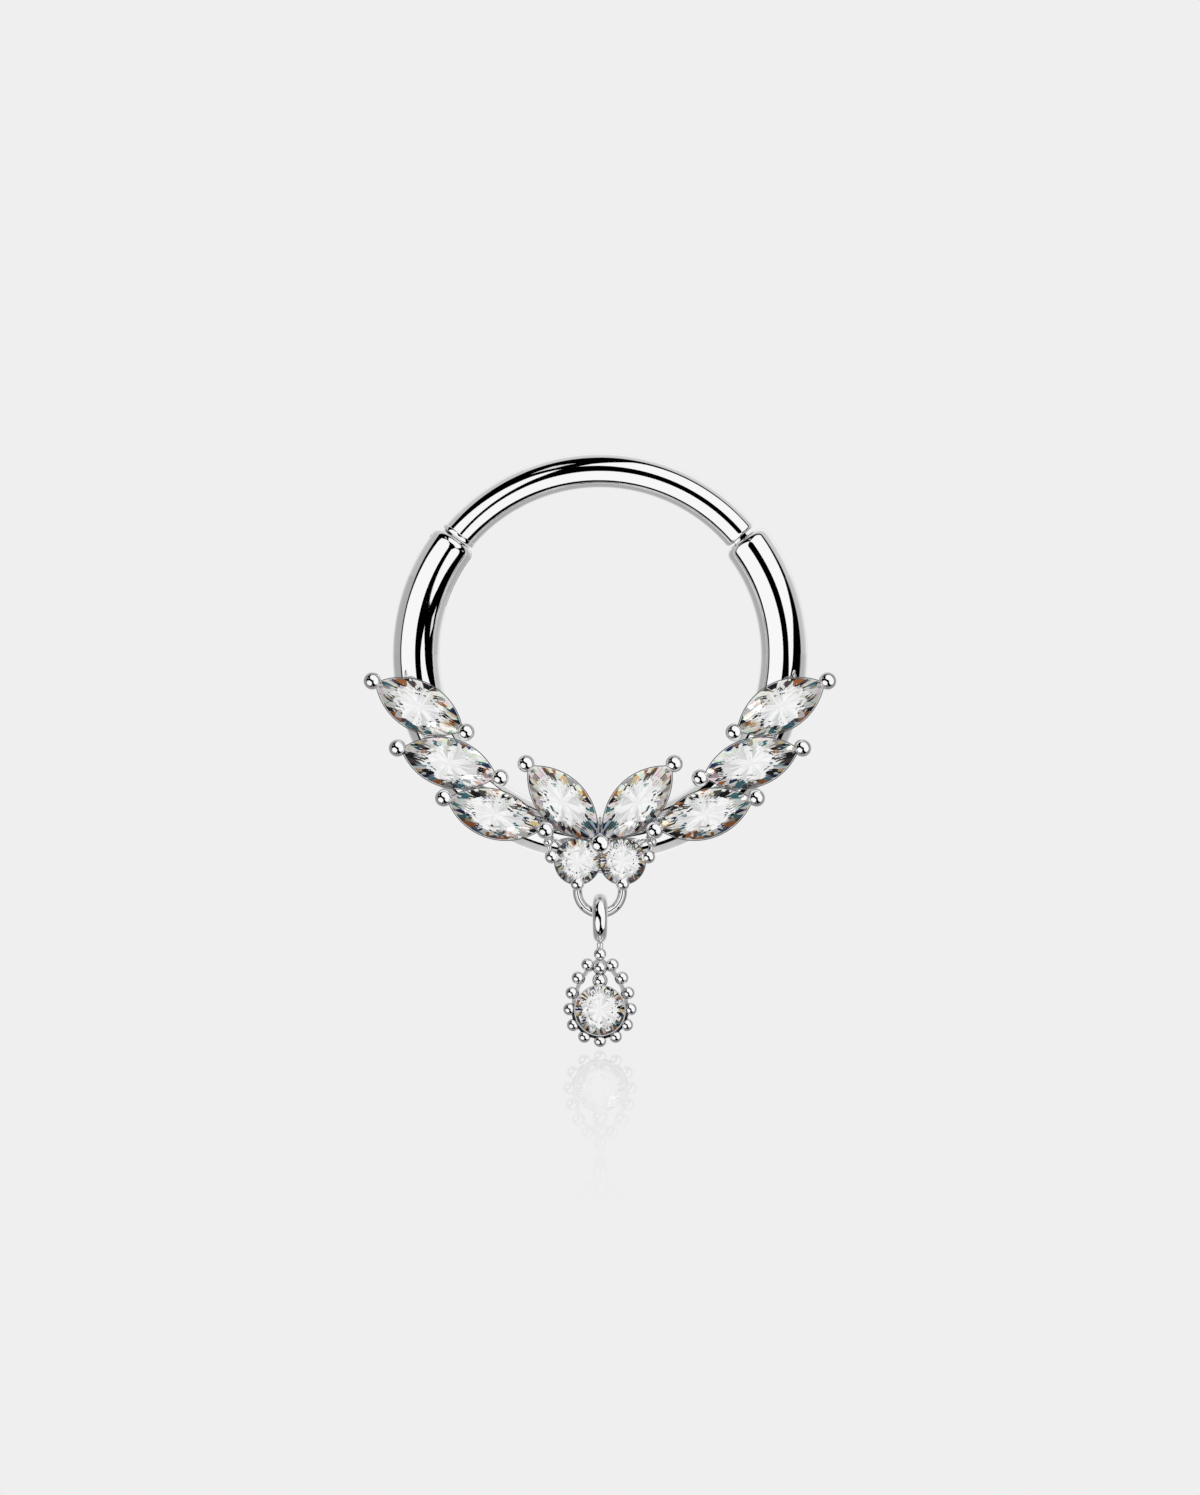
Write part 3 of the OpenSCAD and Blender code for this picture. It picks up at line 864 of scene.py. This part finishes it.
def ball_on_prong(ball_width, prong_r, start, stop, rings=24):
    """A ball at one point whose underside is drawn out into a prong to another, in the XZ plane."""
    ball_r = ball_width * MM / 2
    step = math.pi / rings
    ball = sphere(ball_r, rings)
    cap = max(1, round(math.asin(min(1, prong_r / ball_r)) / step))
    edge = -ball_r * math.cos(step * (cap - 0.5))
    pick(ball, "FACE", lambda p: p.z < edge)
    push((0, 0, ball_r * math.cos(step * cap) - (start - stop).length))
    leave_edit()
    lean = math.atan2(start.x - stop.x, start.z - stop.z)
    return place(ball, Matrix.Translation(start) @ Matrix.Rotation(lean, 4, "Y"))


class RING_OT_marquise_settings(bpy.types.Operator):
    """Model the eight boat-shaped cups with their ball prongs"""

    bl_idname = "ring.marquise_settings"
    bl_label = "Marquise settings"

    def execute(self, context):
        at = Layout()
        width = context.scene.ring_stones.ball_width
        cup = marquise_cup(at)
        start = Vector((at.prong_at, 0, at.ball_lift))
        ball = ball_on_prong(width, at.prong_r, start, Vector((at.long / 4, 0, -at.pavilion * at.wide)))
        cups = []
        balls = []
        for side in BOTH_SIDES:
            for stone in WING:
                spot = side @ at.wing(stone)
                cups.append(copy_to(cup, spot))
                balls += [copy_to(ball, spot), copy_to(ball, spot @ MIRRORED)]
            spot = side @ at.crest()
            cups.append(copy_to(cup, spot))
            balls.append(copy_to(ball, spot @ MIRRORED))
        discard(cup, ball)
        finish_metal(cups, "marquise_cups", RING_BODY, "ring_frame")
        finish_metal(balls, "marquise_prongs", RING_BODY, "ring_frame")
        return {"FINISHED"}


def wing_bar(start, stop):
    """A short bar with a bead, which joins a side ball of the crest to the nearest prong of a wing."""
    run = stop - start
    bead = place(sphere(BAR_BEAD_R, 16), Matrix.Translation((0, -0.06, 0.05)))
    bar = join([rod(BAR_R, run.length, 32), bead])
    spot = (
        Matrix.Translation(start + Vector((0, BAR_BEHIND, 0)))
        @ Matrix.Rotation(math.atan2(run.x, run.z), 4, "Y")
        @ Matrix.Translation((0, 0, run.length / 2))
    )
    return place(bar, spot)


class RING_OT_round_settings(bpy.types.Operator):
    """Model the two round cups, their small balls, the crest's ball and the bars round it"""

    bl_idname = "ring.round_settings"
    bl_label = "Round settings"

    def execute(self, context):
        at = Layout()
        stones = context.scene.ring_stones
        stop = Vector((at.round_r * CUP_BACK, 0, -at.pavilion * 2 * at.round_r - at.wall))
        side_turn = math.pi - SIDE_BALL_RISE
        balls = []
        for turn, out in ((side_turn, at.side_ball_out), (-QUARTER, at.under_ball_out)):
            start = Vector((at.round_r + out, 0, at.ball_lift))
            ball = ball_on_prong(stones.small_ball_width, at.prong_r, start, stop)
            balls.append(place(ball, Matrix.Rotation(turn, 4, "Z")))
        half = join(balls)
        cup = round_cup(at, at.round_r, at.wall)
        spots = [side @ at.round_stone() for side in BOTH_SIDES]
        pieces = [copy_to(half, spot) for spot in spots]
        cups = [copy_to(cup, spot) for spot in spots]
        side_r = at.round_r + at.side_ball_out
        side_ball = at.round_stone() @ Vector((side_r * math.cos(side_turn), side_r * math.sin(side_turn), 0))
        bar = wing_bar(side_ball, at.wing(WING[-1]) @ Vector((at.prong_at, 0, 0)))
        pieces += [copy_to(bar, side) for side in BOTH_SIDES]
        discard(half, cup, bar)
        ball_y = at.girdle_y - at.ball_lift
        root = Vector((0, 0, ball_y + at.tube_r - POST_SUNK))
        post = ball_on_prong(stones.centre_ball_width, at.prong_r, Vector(), root)
        pieces.append(place(post, facing((0, ball_y, at.crest_z))))
        web = rod(WEB_R, WEB_LENGTH, 32)
        pieces.append(place(web, Matrix.Translation((0, at.girdle_y + WEB_BEHIND, at.crest_z + WEB_RISE))))
        finish_metal(pieces, "crest_settings", RING_BODY, "ring_frame")
        finish_metal(cups, "round_cups", RING_BODY, "ring_frame")
        return {"FINISHED"}


class RING_OT_drop_loop(bpy.types.Operator):
    """Model the small loop under the crest"""

    bl_idname = "ring.drop_loop"
    bl_label = "Loop"

    def execute(self, context):
        at = Layout()
        loop = place(wire_ring(at.loop_r, at.loop_wire_r), facing((0, at.loop_y, at.loop_z)))
        finish_metal([loop], "drop_loop", RING_BODY, "ring_frame")
        return {"FINISHED"}


class RING_OT_drop_bail(bpy.types.Operator):
    """Model the drop's bail and its neck"""

    bl_idname = "ring.drop_bail"
    bl_label = "Bail"

    def execute(self, context):
        at = Layout()
        bail = wire_ring(at.bail_r, at.bail_wire_r)
        place(bail, Matrix.Translation((0, at.loop_y, at.bail_z)) @ Matrix.Rotation(QUARTER, 4, "Y"))
        neck_l = at.bead_r + at.neck_gap + at.bail_wire_r
        in_bead = at.bead_r - 0.05
        neck = rod(0.13, 0.06, 32)
        pick(neck, "FACE", lambda p: p.z > 0.02)
        for rise, share in ((in_bead, 0.6), *NECK_STEPS, (neck_l - in_bead - NECK_LESS, 1.5)):
            push((0, 0, rise), share, (0, 0, 0))
        leave_edit()
        place(neck, Matrix.Translation((0, at.loop_y, at.pear_top)))
        finish_metal([bail, neck], "drop_bail", DROP_BODY, "drop_frame")
        return {"FINISHED"}


def pear_plate(at):
    """The pear's flat plate, with a seat cut through it for the stone, in the pear's frame."""
    flank = at.flank_r - PLATE_INSET
    sides = []
    for way, thick in ((1, PLATE_THICK), (-1, PLATE_THICK + 0.1)):
        side = rod(flank, thick, 256)
        sides.append(place(side, Matrix.Translation((way * (at.pear_r - at.flank_r), 0, 0))))
    plate, other = sides
    combine(plate, other, "INTERSECT")
    combine(plate, block((4, 4, 1), (0, -2, 0)), "DIFFERENCE")
    combine(plate, rod(at.pear_r - PLATE_INSET, PLATE_THICK, 128), "UNION")
    front = at.loop_y - at.drop_girdle_y
    fall = at.pavilion * at.gem_r * 2 + at.gap
    seat = rod(0.01, fall, 96, at.gem_r + at.gap)
    combine(plate, place(seat, Matrix.Translation((0, 0, front - fall / 2))), "DIFFERENCE")
    return plate


def bead_spots(at):
    """Places of the beads in the pear's frame: round its edge, and two below the top."""
    spots = []
    for n in range(BEAD_COUNT):
        x, y = at.pear_point(2 * at.half_l * min(n, BEAD_COUNT - n) / BEAD_COUNT)
        spots.append(Vector((x if n <= BEAD_COUNT / 2 else -x, y, at.bead_r / 2)))
    return spots + [Vector((0, at.pear_h - n * BEAD_PITCH, at.bead_r)) for n in (1, 2)]


def write_plate_shade(at, plate, spots):
    """Cuts the plate's faces to a grid, and writes a painted shade for each point of its front: dark arcs
    round the beads, and dark gaps between them at the edge that are darker lower down.
    """
    pick(plate, "FACE", lambda p: True)
    for n in range(-24, 46):
        for way in (Vector((1, 0, 0)), Vector((0, 1, 0))):
            bpy.ops.mesh.select_all(action="SELECT")
            bpy.ops.mesh.bisect(plane_co=tuple(way * n * PLATE_GRID), plane_no=tuple(way))
    leave_edit()
    edge = [Vector(at.pear_point(2 * at.half_l * n / 160)) for n in range(81)]

    def painted_hollow_shade(point):
        if point.z < 0.1:
            return 0.0
        # Painted shade: arcs round each bead, gaps between the beads at the plate's edge, and more of it
        # toward the bottom of the pear
        near = min((point.xy - spot.xy).length for spot in spots) - at.bead_r
        rim = min((Vector((abs(point.x), point.y)) - other).length for other in edge) - at.bead_r
        height_shade = min(0.9, max(0.58, 0.75 - 0.5 * point.y))
        gap = min(1.0, max(0.0, 0.5 - rim / 0.05)) * height_shade
        arc = min(1.0, max(0.0, 1 - near / 0.06)) * (1.0 if rim > -0.02 else height_shade)
        return max(arc, gap)

    write(plate, "painted_hollow_shade", [painted_hollow_shade(vertex.co) for vertex in plate.data.vertices])


class RING_OT_drop_pear(bpy.types.Operator):
    """Model the beaded pear that holds the drop's stone"""

    bl_idname = "ring.drop_pear"
    bl_label = "Pear"

    def execute(self, context):
        at = Layout()
        plate = pear_plate(at)
        spots = bead_spots(at)
        bead = sphere(at.bead_r, 24)
        beads = join([copy_to(bead, Matrix.Translation(spot)) for spot in spots])
        discard(bead)
        write_plate_shade(at, plate, spots)
        for piece in (beads, plate):
            place(piece, at.pear(at.loop_y))
        cup = round_cup(at, at.gem_r, at.wall / 2)
        # Painted shade on the front rim of the stone's cup
        write(cup, "painted_hollow_shade", [0.5 if vertex.co.z > -0.1 else 0.0 for vertex in cup.data.vertices])
        place(cup, at.pear(at.drop_girdle_y))
        finish_metal([plate, cup], "drop_plate", DROP_BODY, "drop_frame", metal_with_painted_shade())
        finish_metal([beads], "drop_beads", DROP_BODY, "drop_frame")
        return {"FINISHED"}


def facet(turn, reach, height, slope):
    """Cuts a facet on the stone in edit mode, through a height at its outline. A slope under 0 cuts below."""
    way = Vector((math.cos(turn), math.sin(turn), 0))
    normal = way * abs(slope) + Vector((0, 0, 1 if slope > 0 else -1))
    bpy.ops.mesh.select_all(action="SELECT")
    bpy.ops.mesh.bisect(
        plane_co=tuple(way * reach + Vector((0, 0, height))), plane_no=tuple(normal),
        use_fill=True, clear_outer=True,
    )


def cut_stone(at, stone, width, reach_at, mains, stars, breaks, rays):
    """Cuts a brilliant from a blank. reach_at gives how far the outline reaches for a facet's turn."""
    crown = at.crown * width
    depth = at.pavilion * width
    girdle = at.girdle
    crown_fall = crown / (1 - at.table)
    pick(stone, "FACE", lambda p: True)
    for turns, above, below in ((mains, 1, 1), (breaks, BREAK_CROWN, BREAK_PAVILION)):
        for turn in turns:
            reach = reach_at(turn)
            facet(turn, reach, girdle, above * crown_fall / reach)
            facet(turn, reach, -girdle, -below * (depth - girdle) / reach)
    for turn in stars:
        reach = reach_at(turn)
        facet(turn, STAR_REACH * at.table * reach, girdle + crown, STAR_CROWN * crown_fall / reach)
    bpy.ops.mesh.select_all(action="SELECT")
    bpy.ops.mesh.remove_doubles(threshold=1e-4)
    bpy.ops.mesh.normals_make_consistent(inside=False)
    leave_edit()

    # Painted brightness of each back facet, which makes the star: main facets and every other wide sector
    # lighter, the rest a greyer painted shade; faces above the back get none
    def shade(face):
        if face.normal.z > -0.2:
            return 0.0
        turn = math.atan2(face.normal.y, face.normal.x)
        main = min(abs(math.remainder(turn - other, FULL)) for other in mains) < 0.04
        return 0.92 if main or math.sin(3 * turn + 1) > 0 else 0.72

    points = [vertex.co for vertex in stone.data.vertices]
    long = reach_at(0)
    wide = reach_at(QUARTER)
    write(stone, "shade", [shade(face) for face in stone.data.polygons], "FACE")
    write(stone, "rays", [rays] * len(points))
    shares = [(point.x / long, point.y / wide, (point.z + depth) / (depth - girdle)) for point in points]
    write(stone, "cut", shares, kind="FLOAT_VECTOR")


def set_stones(stone, spots, name, body, nodes):
    """Copies a stone to its places with a painted shade toward its lower, outer side, and gives its back
    facets their own material, which glows with painted light.
    """
    stones = []
    for n, spot in enumerate(spots):
        copy = copy_to(stone, spot)
        middle = spot.translation
        side = math.copysign(1, middle.x) if middle.x else 0
        ways = [vertex.co - middle for vertex in copy.data.vertices]
        # Painted shade: how far each point lies to the lower, outer side of its stone, which darkens its
        # painted colours
        write(copy, "fall", [0.5 * side * way.x - 0.8 * way.z for way in ways])
        write(copy, "number", [n % 4 + 1.0] * len(ways))
        stones.append(copy)
    discard(stone)
    piece = finish_piece(join(stones), name, body, nodes, clear_stone(), 2)
    piece.data.materials.append(stone_back_painted_glow())
    shade = piece.data.attributes["shade"].data
    for face in piece.data.polygons:
        face.material_index = 1 if shade[face.index].value > 0 else 0


def around(degrees):
    """Turns of the facets on all four quarters of a marquise stone."""
    return sorted({
        round((QUARTER * side + math.radians(way * turn)) % FULL, 6)
        for turn in degrees for way in (-1, 1) for side in (1, -1)
    })


def spaced(count, shift):
    """Turns of facets that are spaced evenly round a round stone."""
    return [FULL * (n + shift) / count for n in range(count)]


def cut_marquise(at):
    def reach_at(turn):
        from_side = abs(math.remainder(turn - QUARTER, math.pi))
        if from_side > math.asin(at.long / 2 / at.lens_r):
            return at.long / 2 * abs(math.cos(turn))
        return at.lens_r - at.lens_offset * math.cos(from_side)

    heights = (-at.pavilion * at.wide, at.girdle + at.crown * at.wide)
    stone, other = marquise_lens(at, (0, 0), heights, 512)
    combine(stone, other, "INTERSECT")
    mains = around(MARQUISE_MAINS) + [0.0, math.pi]
    cut_stone(at, stone, at.wide, reach_at, mains, around(MARQUISE_STARS), around(MARQUISE_BREAKS), 1.0)
    return stone


def cut_round(at, radius):
    width = 2 * radius
    top = at.girdle + at.crown * width
    tall = top + at.pavilion * width
    stone = place(rod(radius, tall, 96), Matrix.Translation((0, 0, top - tall / 2)))
    cut_stone(
        at, stone, width, lambda turn: radius, spaced(8, 0), spaced(8, 0.5), spaced(16, 0.5), 1.6
    )
    return stone


class RING_OT_stones(bpy.types.Operator):
    """Cut and set the marquise stones, the round stones and the drop's stone"""

    bl_idname = "ring.stones"
    bl_label = "Stones"

    def execute(self, context):
        at = Layout()
        half = [at.wing(stone) for stone in WING] + [at.crest()]
        spots = [side @ spot for side in BOTH_SIDES for spot in half]
        nodes = [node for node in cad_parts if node.startswith(("marquise", "crest"))]
        set_stones(cut_marquise(at), spots, "marquise_stones", RING_BODY, nodes)
        spots = [facing((side * at.round_x, at.girdle_y, at.round_z)) for side in (-1, 1)]
        nodes = ["round_left", "round_right"]
        set_stones(cut_round(at, at.round_r), spots, "round_stones", RING_BODY, nodes)
        spots = [at.pear(at.drop_girdle_y)]
        set_stones(cut_round(at, at.gem_r), spots, "drop_gem", DROP_BODY, ["drop_stone"])
        return {"FINISHED"}


# Stage


def on_circle(reach, turn):
    return reach * math.cos(turn), reach * math.sin(turn)


def round_card(radius, power):
    return (0.0, 0.0), power, [on_circle(radius, FULL * n / 12) for n in range(12)]


def arc_card(turns, inner, outer, power, reach=None):
    """A card along an arc round the middle of the ball, between two distances from it."""
    outline = [on_circle(inner, turn) for turn in turns]
    outline += [on_circle(outer, turn) for turn in reversed(turns)]
    middle = on_circle(reach or (inner + outer) / 2, (turns[0] + turns[-1]) / 2)
    return middle, power, outline


def card_ring(count, inner, outer, power, gap=0.0):
    """Cards side by side round the middle of the ball."""
    shares = (gap, 0.5, 1 - gap)
    return [
        arc_card([FULL * (n + share) / count for share in shares], inner, outer, power) for n in range(count)
    ]


def tube_edges(count=16):
    """Pale cards far to the sides, which light the edges of the tube, most from the upper right."""
    cards = []
    for n in range(count):
        turns = [FULL * (n + share) / count for share in (0, 0.5, 1)]
        pale = max(0.0, (math.cos(turns[1] - 1.3) + 0.2) / 1.2)
        cards.append(arc_card(turns, 0.655 + 0.08 * pale, 0.965, 0.13 + 0.2 * pale, 0.82))
    return cards


def strips_below():
    """Six pale strips, one over the other, which light the underside of the tube alone."""
    cards = []
    for n in range(6):
        half = 0.22 + 0.08 * n
        cards.append(arc_card((-QUARTER - half, -QUARTER + half), 0.66, 0.98, 0.04, 0.83))
    return cards


# The soft boxes as a mirror ball shows them: to the right and up from the middle of the ball, in ball radii.
# Each has its middle, its brightness and its outline.
RING_CARDS = [
    ((-0.2, -0.15), 1.0, (
        (-0.605, 0), (-0.58, 0.17), (-0.51, 0.29), (-0.40, 0.335), (-0.233, 0.345), (-0.12, 0.33),
        (-0.06, 0.285), (-0.06, 0.15), (-0.05, 0.05), (-0.04, 0), (0, -0.035), (0.06, -0.05),
        (0.13, -0.06), (0.22, -0.07), (0.30, -0.09), (0.345, -0.14), (0.367, -0.25), (0.32, -0.385),
        (0.255, -0.44), (0.13, -0.51), (0, -0.55), (-0.135, -0.54), (-0.26, -0.5), (-0.375, -0.42),
        (-0.48, -0.3), (-0.57, -0.145),
    )),
    ((0.3, 0.25), 1.0, (
        (0.10, 0.585), (0.15, 0.61), (0.25, 0.60), (0.333, 0.567), (0.467, 0.483), (0.55, 0.367),
        (0.573, 0.233), (0.50, 0.10), (0.40, 0.03), (0.35, -0.02), (0.27, -0.045), (0.19, 0.0),
        (0.2, 0.07), (0.157, 0.15), (0.067, 0.217), (-0.033, 0.283), (-0.017, 0.367), (0.05, 0.5),
    )),
    ((-0.117, 0.473), 0.75, ((-0.18, 0.47), (-0.13, 0.53), (-0.06, 0.48), (-0.10, 0.42))),
    ((0.55, -0.11), 0.8, ((0.5, -0.11), (0.54, -0.055), (0.6, -0.1), (0.555, -0.165))),
]
ORNAMENT_CARDS = [
    ((0.35, 0.15), 1.0, (
        (-0.2, 0.536), (-0.08, 0.66), (0.08, 0.68), (0.32, 0.61), (0.52, 0.416), (0.66, 0.136),
        (0.66, -0.144), (0.56, -0.344), (0.4, -0.424), (0.24, -0.344), (0.16, -0.184), (0.16, 0.016),
        (0.04, 0.1), (-0.12, 0.176), (-0.24, 0.3), (-0.24, 0.42),
    )),
    ((-0.3, -0.22), 1.0, (
        (-0.6, -0.144), (-0.52, 0.016), (-0.32, 0.056), (-0.12, -0.064), (-0.016, -0.224),
        (-0.08, -0.424), (-0.2, -0.52), (-0.4, -0.45), (-0.56, -0.3),
    )),
    ((-0.47, 0.3), 0.75, ((-0.53, 0.3), (-0.47, 0.36), (-0.41, 0.31), (-0.47, 0.24))),
    ((0.0, -0.54), 0.75, ((-0.05, -0.54), (0, -0.49), (0.05, -0.54), (0, -0.6))),
]
CUP_CARDS = [
    round_card(0.3, 0.13),
    ((0.4, 0.2), 0.6, ((0.33, 0.05), (0.3, 0.3), (0.45, 0.4), (0.55, 0.1))),
    ((-0.4, -0.25), 0.5, ((-0.3, -0.15), (-0.3, -0.35), (-0.5, -0.35), (-0.5, -0.15))),
]
STONE_CARDS = [
    ((0.33, 0.4), 5.0, ((0.24, 0.4), (0.33, 0.5), (0.43, 0.42), (0.33, 0.3))),
    ((-0.42, 0.2), 4.0, ((-0.5, 0.2), (-0.42, 0.28), (-0.34, 0.2), (-0.42, 0.12))),
    ((0.1, -0.45), 3.0, ((0.0, -0.45), (0.1, -0.38), (0.2, -0.45), (0.1, -0.52))),
]
# Sets of soft boxes: name, cards, distance in metres and the pieces that they light
LIGHT_SETS = (
    ("ring", RING_CARDS + tube_edges(), 0.5, ("lower_tube", "upper_segment", "pin")),
    ("ornament", ORNAMENT_CARDS, 0.55, ("marquise_prongs", "crest_settings", "drop_bail", "drop_beads")),
    ("loop", card_ring(8, 0.1, 0.36, 1.0) + card_ring(8, 0.4, 0.6, 0.55, 0.06), 0.57, ("drop_loop",)),
    ("tube", strips_below(), 0.48, ("lower_tube",)),
    ("cups", CUP_CARDS + card_ring(12, 0.31, 0.72, 0.3), 0.6, ("marquise_cups", "round_cups")),
    ("plate", [round_card(0.45, 0.95)], 0.65, ("drop_plate",)),
    ("stones", STONE_CARDS, 0.6, ("marquise_stones", "round_stones", "drop_gem")),
)


def seen_in_ball(right, up):
    """Direction that a mirror ball shows at a place on its face, from the front."""
    depth = math.sqrt(max(0.0, 1 - right * right - up * up))
    return Vector((2 * depth * right, 1 - 2 * depth * depth, 2 * depth * up))


def soft_box(name, design, distance, lit):
    """A glowing card round the object, which lights the pieces of one collection alone."""
    middle, power, outline = design
    let_go()
    bpy.ops.mesh.primitive_circle_add(vertices=len(outline), fill_type="TRIFAN")
    card = bpy.context.object
    card.name = name
    rim = [vertex for vertex in card.data.vertices if vertex.co.length > 0.5]
    rim.sort(key=lambda vertex: math.atan2(vertex.co.y, vertex.co.x))
    hub = next(vertex for vertex in card.data.vertices if vertex.co.length < 0.5)
    for vertex, point in zip([hub] + rim, [middle, *outline]):
        vertex.co = seen_in_ball(*point) * distance
    material, nodes, surface = bare(name)
    glow = nodes.add("ShaderNodeEmission", Strength=power)
    clear = nodes.add("ShaderNodeBsdfTransparent")
    both = nodes.add("ShaderNodeAddShader")
    nodes.feed(both.inputs[0], glow.outputs[0])
    nodes.feed(both.inputs[1], clear.outputs[0])
    nodes.feed(surface, both.outputs[0])
    card.data.materials.append(material)
    card.visible_camera = False
    card.light_linking.receiver_collection = lit


def studio_sky(ground):
    """Pale light from behind and above, which leaves the front dark for the soft boxes."""
    world = bpy.data.worlds.new("Studio")
    bpy.context.scene.world = world
    world.use_nodes = True
    world.node_tree.nodes.clear()
    sky = Nodes(world.node_tree)
    way = sky.add("ShaderNodeTexCoord").outputs["Generated"]
    x, y, z = sky.add("ShaderNodeSeparateXYZ", Vector=way).outputs

    # Angle from the front as a share of half a turn, and how far a direction is turned up
    from_front = sky.math("ARCCOSINE", sky.math("MULTIPLY", y, -1.0))
    from_front = sky.math("MULTIPLY", from_front, 1 / math.pi)
    side = sky.math("SQRT", sky.math("ADD", sky.math("MULTIPLY", x, x), sky.math("MULTIPLY", z, z)))
    toward = sky.math("ADD", sky.math("MULTIPLY", x, 0.35), sky.math("MULTIPLY", z, 0.9))
    upward = sky.math("DIVIDE", toward, sky.math("MAXIMUM", side, 0.001))
    upward = sky.math("ADD", upward, 0.2, clamp=True)
    pales = []
    for greys in (
        ((80, 0.28), (120, 0.3), (136, 0.42), (152, ground), (180, ground)),
        ((80, 0.32), (110, 0.34), (126, 0.5), (142, 0.7), (180, ground)),
    ):
        pales.append(sky.ramp(from_front, [(angle / 180, (grey,) * 3) for angle, grey in greys]))
    pale = sky.blend(upward, *pales)

    # The dark front ends some 79 degrees round, or 14 more where it is turned up
    edge = sky.math("SUBTRACT", from_front, sky.math("MULTIPLY", upward, 14 / 180))
    edge = sky.math("MULTIPLY", sky.math("SUBTRACT", edge, 79 / 180), 60.0, clamp=True)
    behind = sky.blend(edge, (0, 0, 0, 1), pale)
    seen = sky.add("ShaderNodeLightPath").outputs["Is Camera Ray"]
    glow = sky.add("ShaderNodeBackground", Color=sky.blend(seen, behind, (ground, ground, ground, 1)))
    sky.add("ShaderNodeOutputWorld", Surface=glow.outputs[0])


def floor_material(ground, gloss):
    """A floor as pale as the backdrop, with a mirror that fades in toward the object."""
    material, nodes, surface = bare("Pale floor")
    glow = nodes.add("ShaderNodeEmission", Color=(ground, ground, ground, 1))
    mirror = nodes.add("ShaderNodeBsdfGlossy", Color=(1, 1, 1, 1), Roughness=0.0)
    spot = nodes.add("ShaderNodeTexCoord").outputs["Object"]
    depth = nodes.add("ShaderNodeSeparateXYZ", Vector=spot).outputs["Y"]
    mix = nodes.add("ShaderNodeMixShader", Fac=nodes.spread(depth, -0.11, 0.0, 0.0, gloss))
    nodes.feed(mix.inputs[1], glow.outputs[0])
    nodes.feed(mix.inputs[2], mirror.outputs[0])
    nodes.feed(surface, mix.outputs[0])
    return material


class RING_OT_lights(bpy.types.Operator):
    """Hang the soft boxes that the metal and the stones mirror"""

    bl_idname = "ring.lights"
    bl_label = "Soft boxes"

    def execute(self, context):
        for kind, cards, distance, names in LIGHT_SETS:
            lit = bpy.data.collections.new("lit_" + kind)
            for name in names:
                lit.objects.link(bpy.data.objects[name])
            for n, card in enumerate(cards):
                soft_box(f"soft_box_{kind}_{n + 1}", card, distance, lit)
        return {"FINISHED"}


class RING_OT_stage(bpy.types.Operator):
    """Make the floor, the studio light and the camera"""

    bl_idname = "ring.stage"
    bl_label = "Stage"

    def execute(self, context):
        finish = context.scene.ring_finish
        let_go()
        bpy.ops.mesh.primitive_plane_add(size=6, location=(0, 0, FLOOR_Z))
        floor = context.object
        floor.name = "floor"
        bpy.ops.object.transform_apply(location=True, rotation=True, scale=True)
        floor.data.materials.append(floor_material(finish.ground, finish.mirror))
        floor.visible_glossy = False
        floor.visible_transmission = False
        floor.visible_diffuse = False
        studio_sky(finish.ground)
        let_go()
        bpy.ops.object.camera_add(location=(0, -CAMERA_AWAY, CAMERA_Z), rotation=(QUARTER, 0, 0))
        camera = context.object
        camera.name = "camera"
        camera.data.sensor_width = 36
        camera.data.lens = 36 * CAMERA_AWAY / (PHOTO_HEIGHT / PIXELS_A_MM / MM)
        camera.data.clip_start = 0.001
        camera.data.clip_end = 20
        context.scene.camera = camera
        context.scene.view_settings.view_transform = "Standard"
        return {"FINISHED"}


class RING_PT_panel(bpy.types.Panel):
    bl_label = "Septum ring"
    bl_idname = "RING_PT_panel"
    bl_space_type = "VIEW_3D"
    bl_region_type = "UI"
    bl_category = "Ring"

    def draw(self, context):
        scene = context.scene
        for group in (scene.ring_sizes, scene.ring_stones, scene.ring_drop, scene.ring_finish):
            box = self.layout.box()
            for name in group.bl_rna.properties.keys():
                if name not in ("rna_type", "name"):
                    box.prop(group, name)
        for maker in MAKERS:
            self.layout.operator(maker.bl_idname)


GROUPS = {
    "ring_sizes": RingSizes,
    "ring_stones": StoneSizes,
    "ring_drop": DropSizes,
    "ring_finish": RingFinish,
}
MAKERS = (
    RING_OT_stage,
    RING_OT_lower_tube,
    RING_OT_upper_segment,
    RING_OT_hinge_pin,
    RING_OT_marquise_settings,
    RING_OT_round_settings,
    RING_OT_drop_loop,
    RING_OT_drop_bail,
    RING_OT_drop_pear,
    RING_OT_stones,
    RING_OT_lights,
)


def register():
    for name, group in GROUPS.items():
        bpy.utils.register_class(group)
        setattr(bpy.types.Scene, name, bpy.props.PointerProperty(type=group))
    for maker in MAKERS:
        bpy.utils.register_class(maker)
    bpy.utils.register_class(RING_PT_panel)


def unregister():
    bpy.utils.unregister_class(RING_PT_panel)
    for maker in reversed(MAKERS):
        bpy.utils.unregister_class(maker)
    for name, group in reversed(GROUPS.items()):
        delattr(bpy.types.Scene, name)
        bpy.utils.unregister_class(group)


def main():
    register()
    bpy.ops.ring.stage()
    bpy.ops.ring.lower_tube()
    bpy.ops.ring.upper_segment()
    bpy.ops.ring.hinge_pin()
    bpy.ops.ring.marquise_settings()
    bpy.ops.ring.round_settings()
    bpy.ops.ring.drop_loop()
    bpy.ops.ring.drop_bail()
    bpy.ops.ring.drop_pear()
    bpy.ops.ring.stones()
    bpy.ops.ring.lights()
    let_go()
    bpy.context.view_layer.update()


if __name__ == "__main__":
    main()
